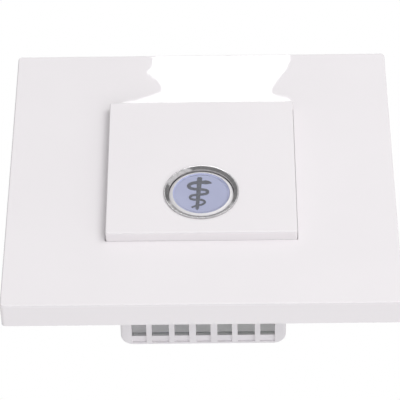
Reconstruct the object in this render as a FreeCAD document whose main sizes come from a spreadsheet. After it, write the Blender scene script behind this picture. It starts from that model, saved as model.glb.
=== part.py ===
"""A wall-mounted medical alarm button: plate, module, button, boards and terminals, in millimetres.

X points right as seen from the front, Z points up and the front faces -Y. The wall plane is y = 0,
and the origin is the centre of the plate on it.
"""

import FreeCAD, Part
import Sketcher
import math
import os

DOC = FreeCAD.newDocument("MedicalAlarmButton")

DRIVING_SIZES = {
    "plate_width": 90.4,
    "plate_height": 83.7,
    "plate_depth": 6.8,
    "plate_front_wall": 2.2,
    "plate_side_wall": 2.0,
    "plate_edge_radius": 0.35,
    "window_gap": 0.15,
    "window_edge_radius": 0.25,
    "collar_wall": 1.4,
    "collar_gap": 0.3,
    "insert_width": 44.0,
    "insert_height": 44.0,
    "insert_rise": 2.6,
    "insert_front_wall": 2.0,
    "insert_wall": 1.6,
    "insert_edge_radius": 0.3,
    "insert_ledge": 2.35,
    "button_rise": 13.0,
    "button_bore_radius": 7.6,
    "button_clearance": 0.1,
    "button_travel": 0.6,
    "bezel_wall": 0.8,
    "bezel_lip_overhang": 0.55,
    "bezel_lip_land": 0.35,
    "bezel_rise": 0.3,
    "bezel_cone_depth": 0.35,
    "bezel_edge": 0.08,
    "bezel_fit": 0.03,
    "bezel_length": 4.5,
    "bezel_boss_wall": 1.2,
    "cap_recess": 0.45,
    "cap_bevel_width": 0.85,
    "cap_bevel_depth": 0.55,
    "lens_thickness": 0.4,
    "legend_thickness": 0.3,
    "lens_fit": 0.02,
    "print_thickness": 0.1,
    "print_gap": 0.02,
    "print_margin": 0.5,
    "symbol_offset": 0.35,
    "symbol_height": 10.8,
    "symbol_width": 5.8,
    "staff_width": 1.2,
    "staff_corner": 0.28,
    "staff_foot_offset": 0.6,
    "staff_point": 0.6,
    "snake_width": 0.85,
    "carrier_wall": 1.2,
    "carrier_floor": 1.0,
    "carrier_flange_overhang": 1.2,
    "carrier_flange_thickness": 0.9,
    "post_radius": 1.75,
    "spring_radius": 2.55,
    "spring_wire_radius": 0.2,
    "spring_turns": 4,
    "arcs_per_turn": 4,
    "spring_end_gap": 0.02,
    "switch_side": 6.2,
    "switch_height": 3.5,
    "switch_plate_thickness": 0.3,
    "switch_contact_room": 1.0,
    "stem_radius": 1.75,
    "stem_clearance": 0.06,
    "stem_height": 1.5,
    "stem_flange_radius": 2.4,
    "stem_flange_thickness": 0.6,
    "frame_width": 72.0,
    "frame_height": 72.0,
    "frame_thickness": 2.0,
    "frame_corner_radius": 4.0,
    "frame_gap": 0.25,
    "screw_spacing": 60.0,
    "slot_width": 4.2,
    "slot_length": 8.0,
    "catch_offset_x": 24.0,
    "catch_inset": 3.6,
    "catch_width": 5.0,
    "catch_thickness": 1.4,
    "catch_gap": 0.3,
    "catch_barb": 0.8,
    "catch_ledge": 1.05,
    "catch_play": 0.1,
    "housing_depth": 28.9,
    "housing_wall": 1.6,
    "housing_corner_radius": 3.0,
    "housing_edge_radius": 0.6,
    "neck_gap": 0.1,
    "vent_count": 7,
    "vent_pitch": 5.1,
    "vent_width": 3.48,
    "wide_vent_width": 4.1,
    "vent_length": 10.0,
    "vent_end": 2.7,
    "rib_rise": 0.5,
    "back_rim": 0.9,
    "latch_reach": 1.2,
    "latch_run": 3.0,
    "latch_length": 14.0,
    "board_thickness": 1.6,
    "board_gap": 1.0,
    "board_hole_radius": 1.35,
    "board_hole_inset": 3.4,
    "front_board_depth": 0.6,
    "board_spacing": 11.8,
    "post_boss_radius": 2.4,
    "stud_radius": 1.15,
    "stud_clearance": 0.05,
    "stud_length": 4.8,
    "stud_hole_extra": 0.8,
    "spacer_flats": 4.5,
    "thread_radius": 1.0,
    "thread_clearance": 0.05,
    "thread_depth": 6.0,
    "screw_head_radius": 2.1,
    "screw_head_height": 1.3,
    "screw_slot_width": 0.6,
    "screw_slot_depth": 0.5,
    "led_ring_radius": 5.0,
    "led_length": 2.0,
    "led_width": 1.6,
    "led_height": 1.2,
    "led_dome_radius": 0.55,
    "led_dome_height": 0.35,
    "resistor_length": 2.0,
    "resistor_width": 1.25,
    "resistor_height": 0.55,
    "resistor_cap": 0.4,
    "resistor_plating": 0.05,
    "resistor_row_x": -3.6,
    "resistor_row_gap": 0.45,
    "resistor_pitch": 4.0,
    "chip_length": 9.9,
    "chip_width": 6.0,
    "chip_height": 1.6,
    "chip_x": 3.0,
    "chip_gap": 1.6,
    "lead_count": 7,
    "lead_pitch": 1.27,
    "lead_width": 0.42,
    "lead_reach": 1.0,
    "lead_thickness": 0.25,
    "lead_rise": 0.8,
    "header_inset": 3.05,
    "header_z": 0.0,
    "header_width": 2.54,
    "header_pitch": 2.54,
    "pin_count": 5,
    "pin_width": 0.64,
    "socket_height": 8.5,
    "socket_play": 0.08,
    "pin_dip": 6.0,
    "relay_length": 13.0,
    "relay_width": 7.5,
    "relay_height": 9.6,
    "relay_inset": 1.5,
    "relay_gap": 0.3,
    "relay_edge_radius": 0.5,
    "capacitor_radius": 3.15,
    "capacitor_height": 8.2,
    "capacitor_gap": 1.1,
    "capacitor_groove": 0.35,
    "capacitor_foot": 1.0,
    "diode_length": 4.6,
    "diode_width": 2.7,
    "diode_height": 2.2,
    "diode_gap": 1.15,
    "pole_count": 4,
    "pole_pitch": 5.08,
    "terminal_width": 9.0,
    "terminal_height": 10.4,
    "terminal_z": 6.4,
    "terminal_entry_width": 3.6,
    "terminal_entry_height": 4.2,
    "terminal_entry_rise": 1.4,
    "terminal_well_radius": 1.9,
    "clamp_wall": 0.5,
    "clamp_play": 0.1,
    "clamp_depth": 4.6,
    "terminal_screw_radius": 1.4,
    "terminal_screw_head_radius": 1.75,
    "terminal_screw_head_height": 1.6,
    "terminal_screw_slot_width": 0.6,
    "terminal_screw_slot_depth": 0.7,
    "terminal_screw_sink": 1.0,
    "opening_margin": 0.9,
    "wire_room": 6.4,
}

SNAKE_LINE = [
    (0.97, 0.813),
    (0.72, 0.835),
    (0.41, 0.844),
    (0.07, 0.844),
    (-0.33, 0.836),
    (-0.69, 0.806),
    (-0.89, 0.741),
    (-0.78, 0.678),
    (-0.43, 0.641),
    (-0.03, 0.631),
    (0.34, 0.617),
    (0.60, 0.578),
    (0.60, 0.517),
    (0.34, 0.481),
    (-0.03, 0.470),
    (-0.43, 0.457),
    (-0.71, 0.427),
    (-0.77, 0.376),
    (-0.59, 0.330),
    (-0.26, 0.316),
    (0.05, 0.313),
    (0.29, 0.291),
    (0.40, 0.241),
    (0.30, 0.191),
    (0.07, 0.157),
    (-0.21, 0.137),
    (-0.45, 0.113),
    (-0.64, 0.081),
]

SNAKE_STEPS = 60
SNAKE_HEAD_SHARE = 0.1
NOSE_SHARE = 0.15
HEAD_SWELL_SHARE = 1.25
HEAD_TURN_SHARE = 0.78
NECK_SHARE = 1.15
TAIL_SHARE = 0.55

SUB_PARTS = []


class Size:
    """A length that carries its value in millimetres and its formula on the sheet."""

    def __init__(self, value, formula):
        self.value = value
        self.formula = formula

    def __add__(self, other):
        return joined(self, "+", other, self.value + number(other))

    def __radd__(self, other):
        return joined(other, "+", self, number(other) + self.value)

    def __sub__(self, other):
        return joined(self, "-", other, self.value - number(other))

    def __rsub__(self, other):
        return joined(other, "-", self, number(other) - self.value)

    def __mul__(self, other):
        return joined(self, "*", other, self.value * number(other))

    def __rmul__(self, other):
        return joined(other, "*", self, number(other) * self.value)

    def __truediv__(self, other):
        return joined(self, "/", other, self.value / number(other))

    def __neg__(self):
        return Size(-self.value, f"-({self.formula})")


def number(item):
    return item.value if isinstance(item, Size) else float(item)


def formula_of(item):
    return item.formula if isinstance(item, Size) else repr(float(item))


def joined(left, sign, right, value):
    return Size(value, f"({formula_of(left)} {sign} {formula_of(right)})")


class Sizes:
    """The sheet of driving dimensions, read by name."""

    def __init__(self, values):
        self.sheet = DOC.addObject("Spreadsheet::Sheet", "Sizes")
        for row, (name, value) in enumerate(values.items(), start=1):
            self.sheet.set(f"A{row}", name)
            self.sheet.set(f"B{row}", str(value))
            self.sheet.setAlias(f"B{row}", name)
            setattr(self, name, Size(float(value), f"Sizes.{name}"))
        DOC.recompute()


def bind(item, properties):
    """Tie each property to its formula on the sheet."""
    for name, size in properties.items():
        item.setExpression(name, formula_of(size))


def sub_part(item, label):
    """Name a finished piece, which is later written to a file of that name."""
    item.Label = label
    SUB_PARTS.append(item)
    return item


class Outline:
    """A sketch on one of a body's own planes, its points tied to the sheet."""

    def __init__(self, body, plane, offset=0.0):
        self.body = body
        self.sketch = body.newObject("Sketcher::SketchObject", "Outline")
        datum = next(f for f in body.Origin.OriginFeatures if f.Role == plane)
        self.sketch.AttachmentSupport = (datum, [""])
        self.sketch.MapMode = "FlatFace"
        bind(self.sketch, {"AttachmentOffset.Base.z": offset})

    def fix(self, kind, geometry, point, size):
        """Hold one coordinate of a point, measured from the sketch's origin."""
        if number(size) == 0.0 and not isinstance(size, Size):
            axis = -2 if kind == "DistanceX" else -1
            self.sketch.addConstraint(Sketcher.Constraint("PointOnObject", geometry, point, axis))
            return
        rule = Sketcher.Constraint(kind, -1, 1, geometry, point, number(size))
        self.name_rule(self.sketch.addConstraint(rule), size)

    def radius(self, geometry, size):
        rule = Sketcher.Constraint("Radius", geometry, number(size))
        self.name_rule(self.sketch.addConstraint(rule), size)

    def name_rule(self, index, size):
        name = f"rule{index}"
        self.sketch.renameConstraint(index, name)
        self.sketch.setExpression(f"Constraints.{name}", formula_of(size))

    def polygon(self, points):
        """A closed run of straight lines through points given as (across, up)."""
        count = len(points)
        first = self.sketch.GeometryCount
        for i in range(count):
            start, end = points[i], points[(i + 1) % count]
            line = Part.LineSegment(
                FreeCAD.Vector(number(start[0]), number(start[1]), 0),
                FreeCAD.Vector(number(end[0]), number(end[1]), 0),
            )
            self.sketch.addGeometry(line, False)
        for i in range(count):
            after = first + (i + 1) % count
            self.sketch.addConstraint(Sketcher.Constraint("Coincident", first + i, 2, after, 1))
        for i, (across, up) in enumerate(points):
            self.fix("DistanceX", first + i, 1, across)
            self.fix("DistanceY", first + i, 1, up)
        return self

    def rectangle(self, width, height, across=0.0, up=0.0):
        left, right = across - width / 2, across + width / 2
        low, high = up - height / 2, up + height / 2
        return self.polygon([(left, low), (right, low), (right, high), (left, high)])

    def circle(self, radius, across=0.0, up=0.0):
        centre = FreeCAD.Vector(number(across), number(up), 0)
        round_line = Part.Circle(centre, FreeCAD.Vector(0, 0, 1), number(radius))
        index = self.sketch.addGeometry(round_line, False)
        self.fix("DistanceX", index, 3, across)
        self.fix("DistanceY", index, 3, up)
        self.radius(index, radius)
        return self

    def slot(self, length, width, across, up, runs_across):
        """A round-ended slot, its middle at (across, up)."""
        reach = (length - width) / 2
        turn = 0.0 if runs_across else math.pi / 2
        ends = []
        for side in (1, -1):
            x = across + reach * side if runs_across else across
            y = up if runs_across else up + reach * side
            start = turn - math.pi / 2 if side == 1 else turn + math.pi / 2
            centre = FreeCAD.Vector(number(x), number(y), 0)
            round_line = Part.Circle(centre, FreeCAD.Vector(0, 0, 1), number(width) / 2)
            arc = Part.ArcOfCircle(round_line, start, start + math.pi)
            index = self.sketch.addGeometry(arc, False)
            self.fix("DistanceX", index, 3, x)
            self.fix("DistanceY", index, 3, y)
            ends.append((index, arc))
        (first, first_arc), (second, second_arc) = ends
        for start_arc, end_arc, start, end in (
            (first_arc, second_arc, first, second),
            (second_arc, first_arc, second, first),
        ):
            side_line = Part.LineSegment(start_arc.EndPoint, end_arc.StartPoint)
            index = self.sketch.addGeometry(side_line, False)
            self.sketch.addConstraint(Sketcher.Constraint("Tangent", start, 2, index, 1))
            self.sketch.addConstraint(Sketcher.Constraint("Tangent", index, 2, end, 1))
        self.radius(first, width / 2)
        return self

    def feature(self, kind, length=None, backwards=False, both_ways=False):
        item = self.body.newObject(f"PartDesign::{kind}", kind)
        item.Profile = self.sketch
        item.Reversed = backwards
        if both_ways:
            item.SideType = "Symmetric"
        if length is None:
            item.Type = "ThroughAll"
        else:
            bind(item, {"Length": length})
        refresh(self.sketch, item)
        return item

    def pad(self, length, backwards=False, both_ways=False):
        return self.feature("Pad", length, backwards, both_ways)

    def pocket(self, length=None, backwards=False, both_ways=False):
        """Cut a pocket, and fail loudly if it takes nothing away."""
        before = self.body.Tip.Shape.Volume
        item = self.feature("Pocket", length, backwards, both_ways)
        if item.Shape.Volume > before - 1e-6:
            raise RuntimeError(f"a pocket in {self.body.Label} cuts nothing")
        return item

    def revolve(self):
        item = self.body.newObject("PartDesign::Revolution", "Revolution")
        item.Profile = self.sketch
        item.ReferenceAxis = (self.sketch, ["H_Axis"])
        item.Angle = 360
        refresh(self.sketch, item)
        return item


def refresh(*items):
    """Work out just these objects, in order."""
    for item in items:
        item.recompute()


def new_body(label):
    return sub_part(DOC.addObject("PartDesign::Body", label), label)


def front_outline(body, y=0.0):
    """A sketch square to Y, at the given y, with X across and Z up. A pad grows to the front."""
    return Outline(body, "XZ_Plane", -1 * y)


def round_edges(body, radius, wanted):
    """Fillet the edges of the body for which wanted(edge) holds."""
    base = body.Tip
    names = [f"Edge{i}" for i, edge in enumerate(base.Shape.Edges, start=1) if wanted(edge)]
    fillet = body.newObject("PartDesign::Fillet", "Fillet")
    fillet.Base = (base, names)
    bind(fillet, {"Radius": radius})
    refresh(fillet)
    return fillet


def near(a, b):
    return abs(a - b) < 1e-4


def edge_at_y(edge, y):
    box = edge.BoundBox
    return near(box.YMin, number(y)) and near(box.YMax, number(y))


def runs_along(edge, letter):
    """True for a straight edge parallel to the named axis."""
    lengths = {"X": edge.BoundBox.XLength, "Y": edge.BoundBox.YLength, "Z": edge.BoundBox.ZLength}
    own = lengths.pop(letter)
    return own > 0.01 and max(lengths.values()) < 1e-4


def outer_corner(edge, half_width, half_height):
    """True for an edge that lies on both outer sides of a centred rectangle."""
    middle = edge.CenterOfMass
    return near(abs(middle.x), number(half_width)) and near(abs(middle.z), number(half_height))


def block(width, depth, height, x, y, z):
    """A box centred on x and z whose front face is at y."""
    item = DOC.addObject("Part::Box", "Block")
    bind(item, {"Length": width, "Width": depth, "Height": height})
    place(item, x - width / 2, y, z - height / 2)
    return item


def place(item, x, y, z):
    bind(item, {"Placement.Base.x": x, "Placement.Base.y": y, "Placement.Base.z": z})


def rod(radius, length, x, y, z):
    """A cylinder along Y whose front face is at y."""
    item = DOC.addObject("Part::Cylinder", "Rod")
    bind(item, {"Radius": radius, "Height": length})
    item.Placement = FreeCAD.Placement(
        FreeCAD.Vector(number(x), number(y), number(z)),
        FreeCAD.Rotation(FreeCAD.Vector(1, 0, 0), -90),
    )
    place(item, x, y, z)
    return item


def fused(items):
    item = DOC.addObject("Part::MultiFuse", "Fused")
    item.Shapes = items
    return item


def cut(base, tool):
    item = DOC.addObject("Part::Cut", "Cut")
    item.Base = base
    item.Tool = tool
    return item


def grouped(items):
    """Like pieces that share one node and stay separate solids."""
    item = DOC.addObject("Part::Compound", "Group")
    item.Links = items
    return item


def spread(count, pitch):
    """Places of a centred row, as multiples of its pitch."""
    return [pitch * (i - (count - 1) / 2) for i in range(count)]


s = Sizes(DRIVING_SIZES)

PLATE_FRONT = -s.plate_depth
PLATE_INNER = PLATE_FRONT + s.plate_front_wall
INSERT_FRONT = PLATE_FRONT - s.insert_rise
INSERT_INNER = INSERT_FRONT + s.insert_front_wall
FRAME_FRONT = -s.frame_thickness
WINDOW_WIDTH = s.insert_width + 2 * s.window_gap
WINDOW_HEIGHT = s.insert_height + 2 * s.window_gap

BUTTON_Z = s.button_rise - s.insert_height / 2
LIP_FRONT = INSERT_FRONT - s.bezel_rise
BEZEL_BACK = INSERT_FRONT + s.bezel_length
BARREL_RADIUS = s.button_bore_radius + s.bezel_wall
LIP_RADIUS = BARREL_RADIUS + s.bezel_lip_overhang
CAP_RADIUS = s.button_bore_radius - s.button_clearance
CAP_FLAT_RADIUS = CAP_RADIUS - s.cap_bevel_width
LENS_RADIUS = CAP_FLAT_RADIUS - s.lens_fit
CAP_FRONT = LIP_FRONT + s.cap_recess
LENS_BACK = CAP_FRONT + s.lens_thickness
LEGEND_BACK = LENS_BACK + s.legend_thickness
CARRIER_FLOOR_BACK = LEGEND_BACK + s.carrier_floor

HOUSING_WIDTH = s.insert_width - 2 * s.insert_ledge
HOUSING_HEIGHT = s.insert_height
NECK_HEIGHT = HOUSING_HEIGHT - 2 * (s.insert_wall + s.neck_gap)
INNER_WIDTH = HOUSING_WIDTH - 2 * s.housing_wall
BOARD_WIDTH = INNER_WIDTH - 2 * s.board_gap
BOARD_HEIGHT = NECK_HEIGHT - 2 * s.housing_wall - 2 * s.board_gap
FRONT_BOARD_BACK = s.front_board_depth + s.board_thickness
REAR_BOARD_FRONT = FRONT_BOARD_BACK + s.board_spacing
REAR_BOARD_BACK = REAR_BOARD_FRONT + s.board_thickness
POST_X = BOARD_WIDTH / 2 - s.board_hole_inset
POST_Z = BOARD_HEIGHT / 2 - s.board_hole_inset
POSTS = [(side * POST_X, level * POST_Z) for side in (-1, 1) for level in (-1, 1)]
HEADER_X = s.header_inset - BOARD_WIDTH / 2
RESISTOR_ROW_Z = POST_Z - s.spacer_flats / 2 - s.resistor_row_gap - s.resistor_length / 2
CHIP_Z = RESISTOR_ROW_Z - s.resistor_length / 2 - s.chip_gap - s.lead_reach - s.chip_width / 2

RELAY_X = s.relay_inset + s.relay_length / 2 - BOARD_WIDTH / 2
CAPACITOR_X = RELAY_X + s.relay_length / 2 + s.capacitor_gap + s.capacitor_radius
DIODE_TABS = s.diode_length + s.lead_reach
DIODE_X = CAPACITOR_X + s.capacitor_radius + s.diode_gap + DIODE_TABS / 2
REAR_ROW_Z = s.screw_head_radius + s.relay_gap + s.relay_width / 2 - POST_Z

SWITCH_FRONT = s.front_board_depth - s.switch_height
STEM_FRONT = SWITCH_FRONT - s.stem_height
CATCH_Z = s.frame_height / 2 - s.catch_inset
CATCHES = [(side * s.catch_offset_x, level) for side in (-1, 1) for level in (-1, 1)]
TERMINAL_LENGTH = s.pole_pitch * s.pole_count
POLES = spread(DRIVING_SIZES["pole_count"], s.pole_pitch)


def make_front_plate():
    body = new_body("front_plate")
    front_outline(body).rectangle(s.plate_width, s.plate_height).pad(s.plate_depth)
    round_edges(
        body,
        s.plate_edge_radius,
        lambda edge: edge_at_y(edge, PLATE_FRONT)
        or (runs_along(edge, "Y") and outer_corner(edge, s.plate_width / 2, s.plate_height / 2)),
    )
    inside = front_outline(body)
    inside.rectangle(s.plate_width - 2 * s.plate_side_wall, s.plate_height - 2 * s.plate_side_wall)
    inside.pocket(s.plate_depth - s.plate_front_wall, backwards=True)
    collar_back = FRAME_FRONT - s.collar_gap
    collar = front_outline(body, collar_back)
    collar.rectangle(WINDOW_WIDTH + 2 * s.collar_wall, WINDOW_HEIGHT + 2 * s.collar_wall)
    collar.pad(collar_back - PLATE_INNER)
    front_outline(body).rectangle(WINDOW_WIDTH, WINDOW_HEIGHT).pocket(backwards=True)
    round_edges(
        body,
        s.window_edge_radius,
        lambda edge: edge_at_y(edge, PLATE_FRONT)
        and abs(edge.CenterOfMass.x) < number(WINDOW_WIDTH) / 2 + 0.01
        and abs(edge.CenterOfMass.z) < number(WINDOW_HEIGHT) / 2 + 0.01,
    )
    barb_back = -1 * s.catch_play / 2
    barb_front = -s.frame_thickness + s.catch_ledge + s.catch_play
    arms = front_outline(body, barb_back)
    barbs = front_outline(body, barb_back)
    for x, level in CATCHES:
        arms.rectangle(s.catch_width, s.catch_thickness, x, level * CATCH_Z)
        barb_z = level * (CATCH_Z + s.catch_barb / 2)
        barbs.rectangle(s.catch_width, s.catch_thickness + s.catch_barb, x, barb_z)
    arms.pad(barb_back - PLATE_INNER)
    barbs.pad(barb_back - barb_front)


def make_mounting_frame():
    body = new_body("mounting_frame")
    sheet = front_outline(body)
    sheet.rectangle(s.frame_width, s.frame_height)
    sheet.rectangle(HOUSING_WIDTH + 2 * s.frame_gap, HOUSING_HEIGHT + 2 * s.frame_gap)
    for side in (-1, 1):
        sheet.slot(s.slot_length, s.slot_width, side * s.screw_spacing / 2, 0.0, True)
        sheet.slot(s.slot_length, s.slot_width, 0.0, side * s.screw_spacing / 2, False)
    for x, level in CATCHES:
        sheet.rectangle(
            s.catch_width + 2 * s.catch_gap, s.catch_thickness + 2 * s.catch_gap, x, level * CATCH_Z
        )
    sheet.pad(s.frame_thickness)
    round_edges(
        body,
        s.frame_corner_radius,
        lambda edge: runs_along(edge, "Y") and outer_corner(edge, s.frame_width / 2, s.frame_height / 2),
    )
    recess = front_outline(body)
    recess_height = s.catch_thickness + 2 * s.catch_gap + s.catch_barb
    for x, level in CATCHES:
        recess.rectangle(
            s.catch_width + 2 * s.catch_gap, recess_height, x, level * (CATCH_Z + s.catch_barb / 2)
        )
    recess.pocket(s.frame_thickness - s.catch_ledge, backwards=True)


def make_module_cover():
    body = new_body("module_cover")
    depth = FRAME_FRONT - INSERT_FRONT
    front_outline(body, FRAME_FRONT).rectangle(s.insert_width, s.insert_height).pad(depth)
    round_edges(
        body,
        s.insert_edge_radius,
        lambda edge: edge_at_y(edge, INSERT_FRONT)
        or (runs_along(edge, "Y") and outer_corner(edge, s.insert_width / 2, s.insert_height / 2)),
    )
    inside = front_outline(body, FRAME_FRONT)
    inside.rectangle(s.insert_width - 2 * s.insert_wall, s.insert_height - 2 * s.insert_wall)
    inside.pocket(depth - s.insert_front_wall, backwards=True)
    ring = front_outline(body, BEZEL_BACK)
    ring.circle(BARREL_RADIUS + s.bezel_fit + s.bezel_boss_wall, 0.0, BUTTON_Z)
    ring.pad(BEZEL_BACK - INSERT_INNER)
    posts = front_outline(body, s.front_board_depth)
    for x, z in POSTS:
        posts.circle(s.post_boss_radius, x, z)
    posts.pad(s.front_board_depth - INSERT_INNER)
    hole = front_outline(body, BEZEL_BACK)
    hole.circle(BARREL_RADIUS + s.bezel_fit, 0.0, BUTTON_Z)
    hole.pocket(backwards=True)
    pilots = front_outline(body, s.front_board_depth)
    for x, z in POSTS:
        pilots.circle(s.stud_radius + s.stud_clearance, x, z)
    pilots.pocket(s.stud_length - s.board_thickness + s.stud_hole_extra, backwards=True)


def make_button_bezel():
    body = new_body("button_bezel")
    bore = s.button_bore_radius
    land_radius = LIP_RADIUS - s.bezel_lip_land
    Outline(body, "YZ_Plane").polygon(
        [
            (INSERT_FRONT, BARREL_RADIUS),
            (INSERT_FRONT, LIP_RADIUS),
            (LIP_FRONT + s.bezel_edge, LIP_RADIUS),
            (LIP_FRONT, LIP_RADIUS - s.bezel_edge),
            (LIP_FRONT, land_radius),
            (LIP_FRONT + s.bezel_cone_depth, bore),
            (BEZEL_BACK, bore),
            (BEZEL_BACK, BARREL_RADIUS),
        ]
    ).revolve()
    bind(body, {"Placement.Base.z": BUTTON_Z})


def make_button_lens():
    body = new_body("button_lens")
    print_radius = LENS_RADIUS - s.print_margin
    print_front = LENS_BACK - s.print_thickness - s.print_gap
    Outline(body, "YZ_Plane").polygon(
        [
            (CAP_FRONT, 0.0),
            (CAP_FRONT, LENS_RADIUS),
            (LENS_BACK, LENS_RADIUS),
            (LENS_BACK, print_radius),
            (print_front, print_radius),
            (print_front, 0.0),
        ]
    ).revolve()
    bind(body, {"Placement.Base.z": BUTTON_Z})


def make_legend_disc():
    sub_part(rod(LENS_RADIUS, s.legend_thickness, 0.0, LENS_BACK, BUTTON_Z), "legend_disc")


def snake_width_at(share, width):
    """The snake is widest behind its head and thins evenly to its tail."""
    if share < SNAKE_HEAD_SHARE:
        swell = math.sin(HEAD_TURN_SHARE * math.pi * share / SNAKE_HEAD_SHARE)
        return width * (NOSE_SHARE + HEAD_SWELL_SHARE * swell)
    return width * (NECK_SHARE + (TAIL_SHARE - NECK_SHARE) * share)


def snake_face(at, height, half_width, width):
    """The snake's outline, offset both ways from a smooth centre line."""
    centre = Part.BSplineCurve()
    centre.interpolate([at(x * half_width, z * height) for x, z in SNAKE_LINE])
    sides = ([], [])
    for i in range(SNAKE_STEPS + 1):
        share = i / SNAKE_STEPS
        parameter = centre.FirstParameter + (centre.LastParameter - centre.FirstParameter) * share
        point, along = centre.value(parameter), centre.tangent(parameter)[0]
        across = along.cross(FreeCAD.Vector(0, 1, 0)).normalize() * snake_width_at(share, width) / 2
        sides[0].append(point + across)
        sides[1].append(point - across)
    edges = [Part.makeLine(sides[0][i], sides[1][i]) for i in (0, -1)]
    for side in sides:
        curve = Part.BSplineCurve()
        curve.interpolate(side)
        edges.append(curve.toShape())
    return Part.Face(Part.Wire(Part.__sortEdges__(edges)))


def make_legend_symbol():
    """The staff and its one snake, a print of even thickness on the legend."""
    height, staff = number(s.symbol_height), number(s.staff_width)
    base_z = number(BUTTON_Z) - height / 2

    def at(x, z):
        return FreeCAD.Vector(x - number(s.symbol_offset), number(LENS_BACK), base_z + z)

    snake = snake_face(at, height, number(s.symbol_width) / 2, number(s.snake_width))
    foot_x, neck_z = -number(s.staff_foot_offset), number(s.staff_point)
    corner = number(s.staff_corner)
    ring = [
        at(-staff / 2, height - corner),
        at(corner - staff / 2, height),
        at(staff / 2 - corner, height),
        at(staff / 2, height - corner),
        at(foot_x + staff / 3, neck_z),
        at(foot_x, 0.0),
        at(foot_x - staff / 3, neck_z),
    ]
    staff_face = Part.Face(Part.makePolygon(ring + ring[:1]))
    thickness = FreeCAD.Vector(0, -number(s.print_thickness), 0)
    item = DOC.addObject("Part::Feature", "Symbol")
    item.Shape = snake.extrude(thickness).fuse(staff_face.extrude(thickness)).removeSplitter()
    sub_part(item, "legend_symbol")


def make_button_carrier():
    """The white cap: a bevelled rim round the lens, a barrel, a flange and a post for the switch."""
    body = new_body("button_carrier")
    inner = CAP_RADIUS - s.carrier_wall
    flange = CAP_RADIUS + s.carrier_flange_overhang
    flange_back = BEZEL_BACK + s.carrier_flange_thickness
    Outline(body, "YZ_Plane").polygon(
        [
            (LEGEND_BACK, 0.0),
            (LEGEND_BACK, CAP_FLAT_RADIUS),
            (CAP_FRONT, CAP_FLAT_RADIUS),
            (CAP_FRONT + s.cap_bevel_depth, CAP_RADIUS),
            (BEZEL_BACK, CAP_RADIUS),
            (BEZEL_BACK, flange),
            (flange_back, flange),
            (flange_back, inner),
            (CARRIER_FLOOR_BACK, inner),
            (CARRIER_FLOOR_BACK, s.post_radius),
            (STEM_FRONT, s.post_radius),
            (STEM_FRONT, 0.0),
        ]
    ).revolve()
    bind(body, {"Placement.Base.z": BUTTON_Z})


def make_return_spring():
    """A coil spring round the post, from the switch to the carrier, its wire bent in short arcs."""
    radius, wire = number(s.spring_radius), number(s.spring_wire_radius)
    start = number(CARRIER_FLOOR_BACK) + wire + number(s.spring_end_gap)
    length = number(SWITCH_FRONT) - wire - number(s.spring_end_gap) - start
    arcs = int(number(s.spring_turns) * number(s.arcs_per_turn))

    def along_coil(steps):
        turn = 2 * math.pi * steps / number(s.arcs_per_turn)
        y = start + length * steps / arcs
        return FreeCAD.Vector(radius * math.cos(turn), y, radius * math.sin(turn))

    edges = [
        Part.Arc(along_coil(i), along_coil(i + 0.5), along_coil(i + 1)).toShape() for i in range(arcs)
    ]
    first = edges[0]
    section = Part.Circle(along_coil(0), first.tangentAt(first.FirstParameter), wire).toShape()
    item = DOC.addObject("Part::Feature", "Spring")
    item.Shape = Part.Wire(edges).makePipeShell([Part.Wire([section])], True, True)
    item.Placement = FreeCAD.Placement(FreeCAD.Vector(0, 0, number(BUTTON_Z)), FreeCAD.Rotation())
    sub_part(item, "return_spring")


def make_switch():
    plate_back = SWITCH_FRONT + s.switch_plate_thickness
    bore = s.stem_radius + s.stem_clearance
    chamber = s.stem_flange_radius + s.stem_clearance
    chamber_depth = s.stem_flange_thickness + s.button_travel + s.switch_contact_room
    shell = block(s.switch_side, s.front_board_depth - plate_back, s.switch_side, 0.0, plate_back, BUTTON_Z)
    sub_part(cut(shell, rod(chamber, chamber_depth, 0.0, plate_back, BUTTON_Z)), "switch_body")
    lid = block(s.switch_side, s.switch_plate_thickness, s.switch_side, 0.0, SWITCH_FRONT, BUTTON_Z)
    sub_part(cut(lid, rod(bore, s.switch_plate_thickness, 0.0, SWITCH_FRONT, BUTTON_Z)), "switch_top_plate")
    stem = rod(s.stem_radius, plate_back - STEM_FRONT, 0.0, STEM_FRONT, BUTTON_Z)
    foot = rod(s.stem_flange_radius, s.stem_flange_thickness, 0.0, plate_back, BUTTON_Z)
    sub_part(fused([stem, foot]), "switch_stem")


def make_board(label, front):
    body = new_body(label)
    sheet = front_outline(body, front + s.board_thickness)
    sheet.rectangle(BOARD_WIDTH, BOARD_HEIGHT)
    for x, z in POSTS:
        sheet.circle(s.board_hole_radius, x, z)
    sheet.pad(s.board_thickness)


def make_leds():
    """Four lamps round the switch, on the front of the front board."""
    front = s.front_board_depth - s.led_height
    for i, (x, z) in enumerate([(1, 0), (0, 1), (-1, 0), (0, -1)], start=1):
        width = s.led_width if x else s.led_length
        height = s.led_length if x else s.led_width
        centre_x, centre_z = x * s.led_ring_radius, BUTTON_Z + z * s.led_ring_radius
        base = block(width, s.led_height, height, centre_x, front, centre_z)
        dome = rod(s.led_dome_radius, s.led_dome_height, centre_x, front - s.led_dome_height, centre_z)
        sub_part(fused([base, dome]), f"led_{i}")


def make_led_resistors():
    for i, x in enumerate(spread(4, s.resistor_pitch), start=1):
        centre_x = s.resistor_row_x + x
        z = RESISTOR_ROW_Z
        core = block(s.resistor_width, s.resistor_height, s.resistor_length, centre_x, FRONT_BOARD_BACK, z)
        caps = [
            block(
                s.resistor_width + 2 * s.resistor_plating,
                s.resistor_height + s.resistor_plating,
                s.resistor_cap,
                centre_x,
                FRONT_BOARD_BACK,
                z + end * (s.resistor_length - s.resistor_cap) / 2,
            )
            for end in (-1, 1)
        ]
        sub_part(fused([core] + caps), f"led_resistor_{i}")


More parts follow.
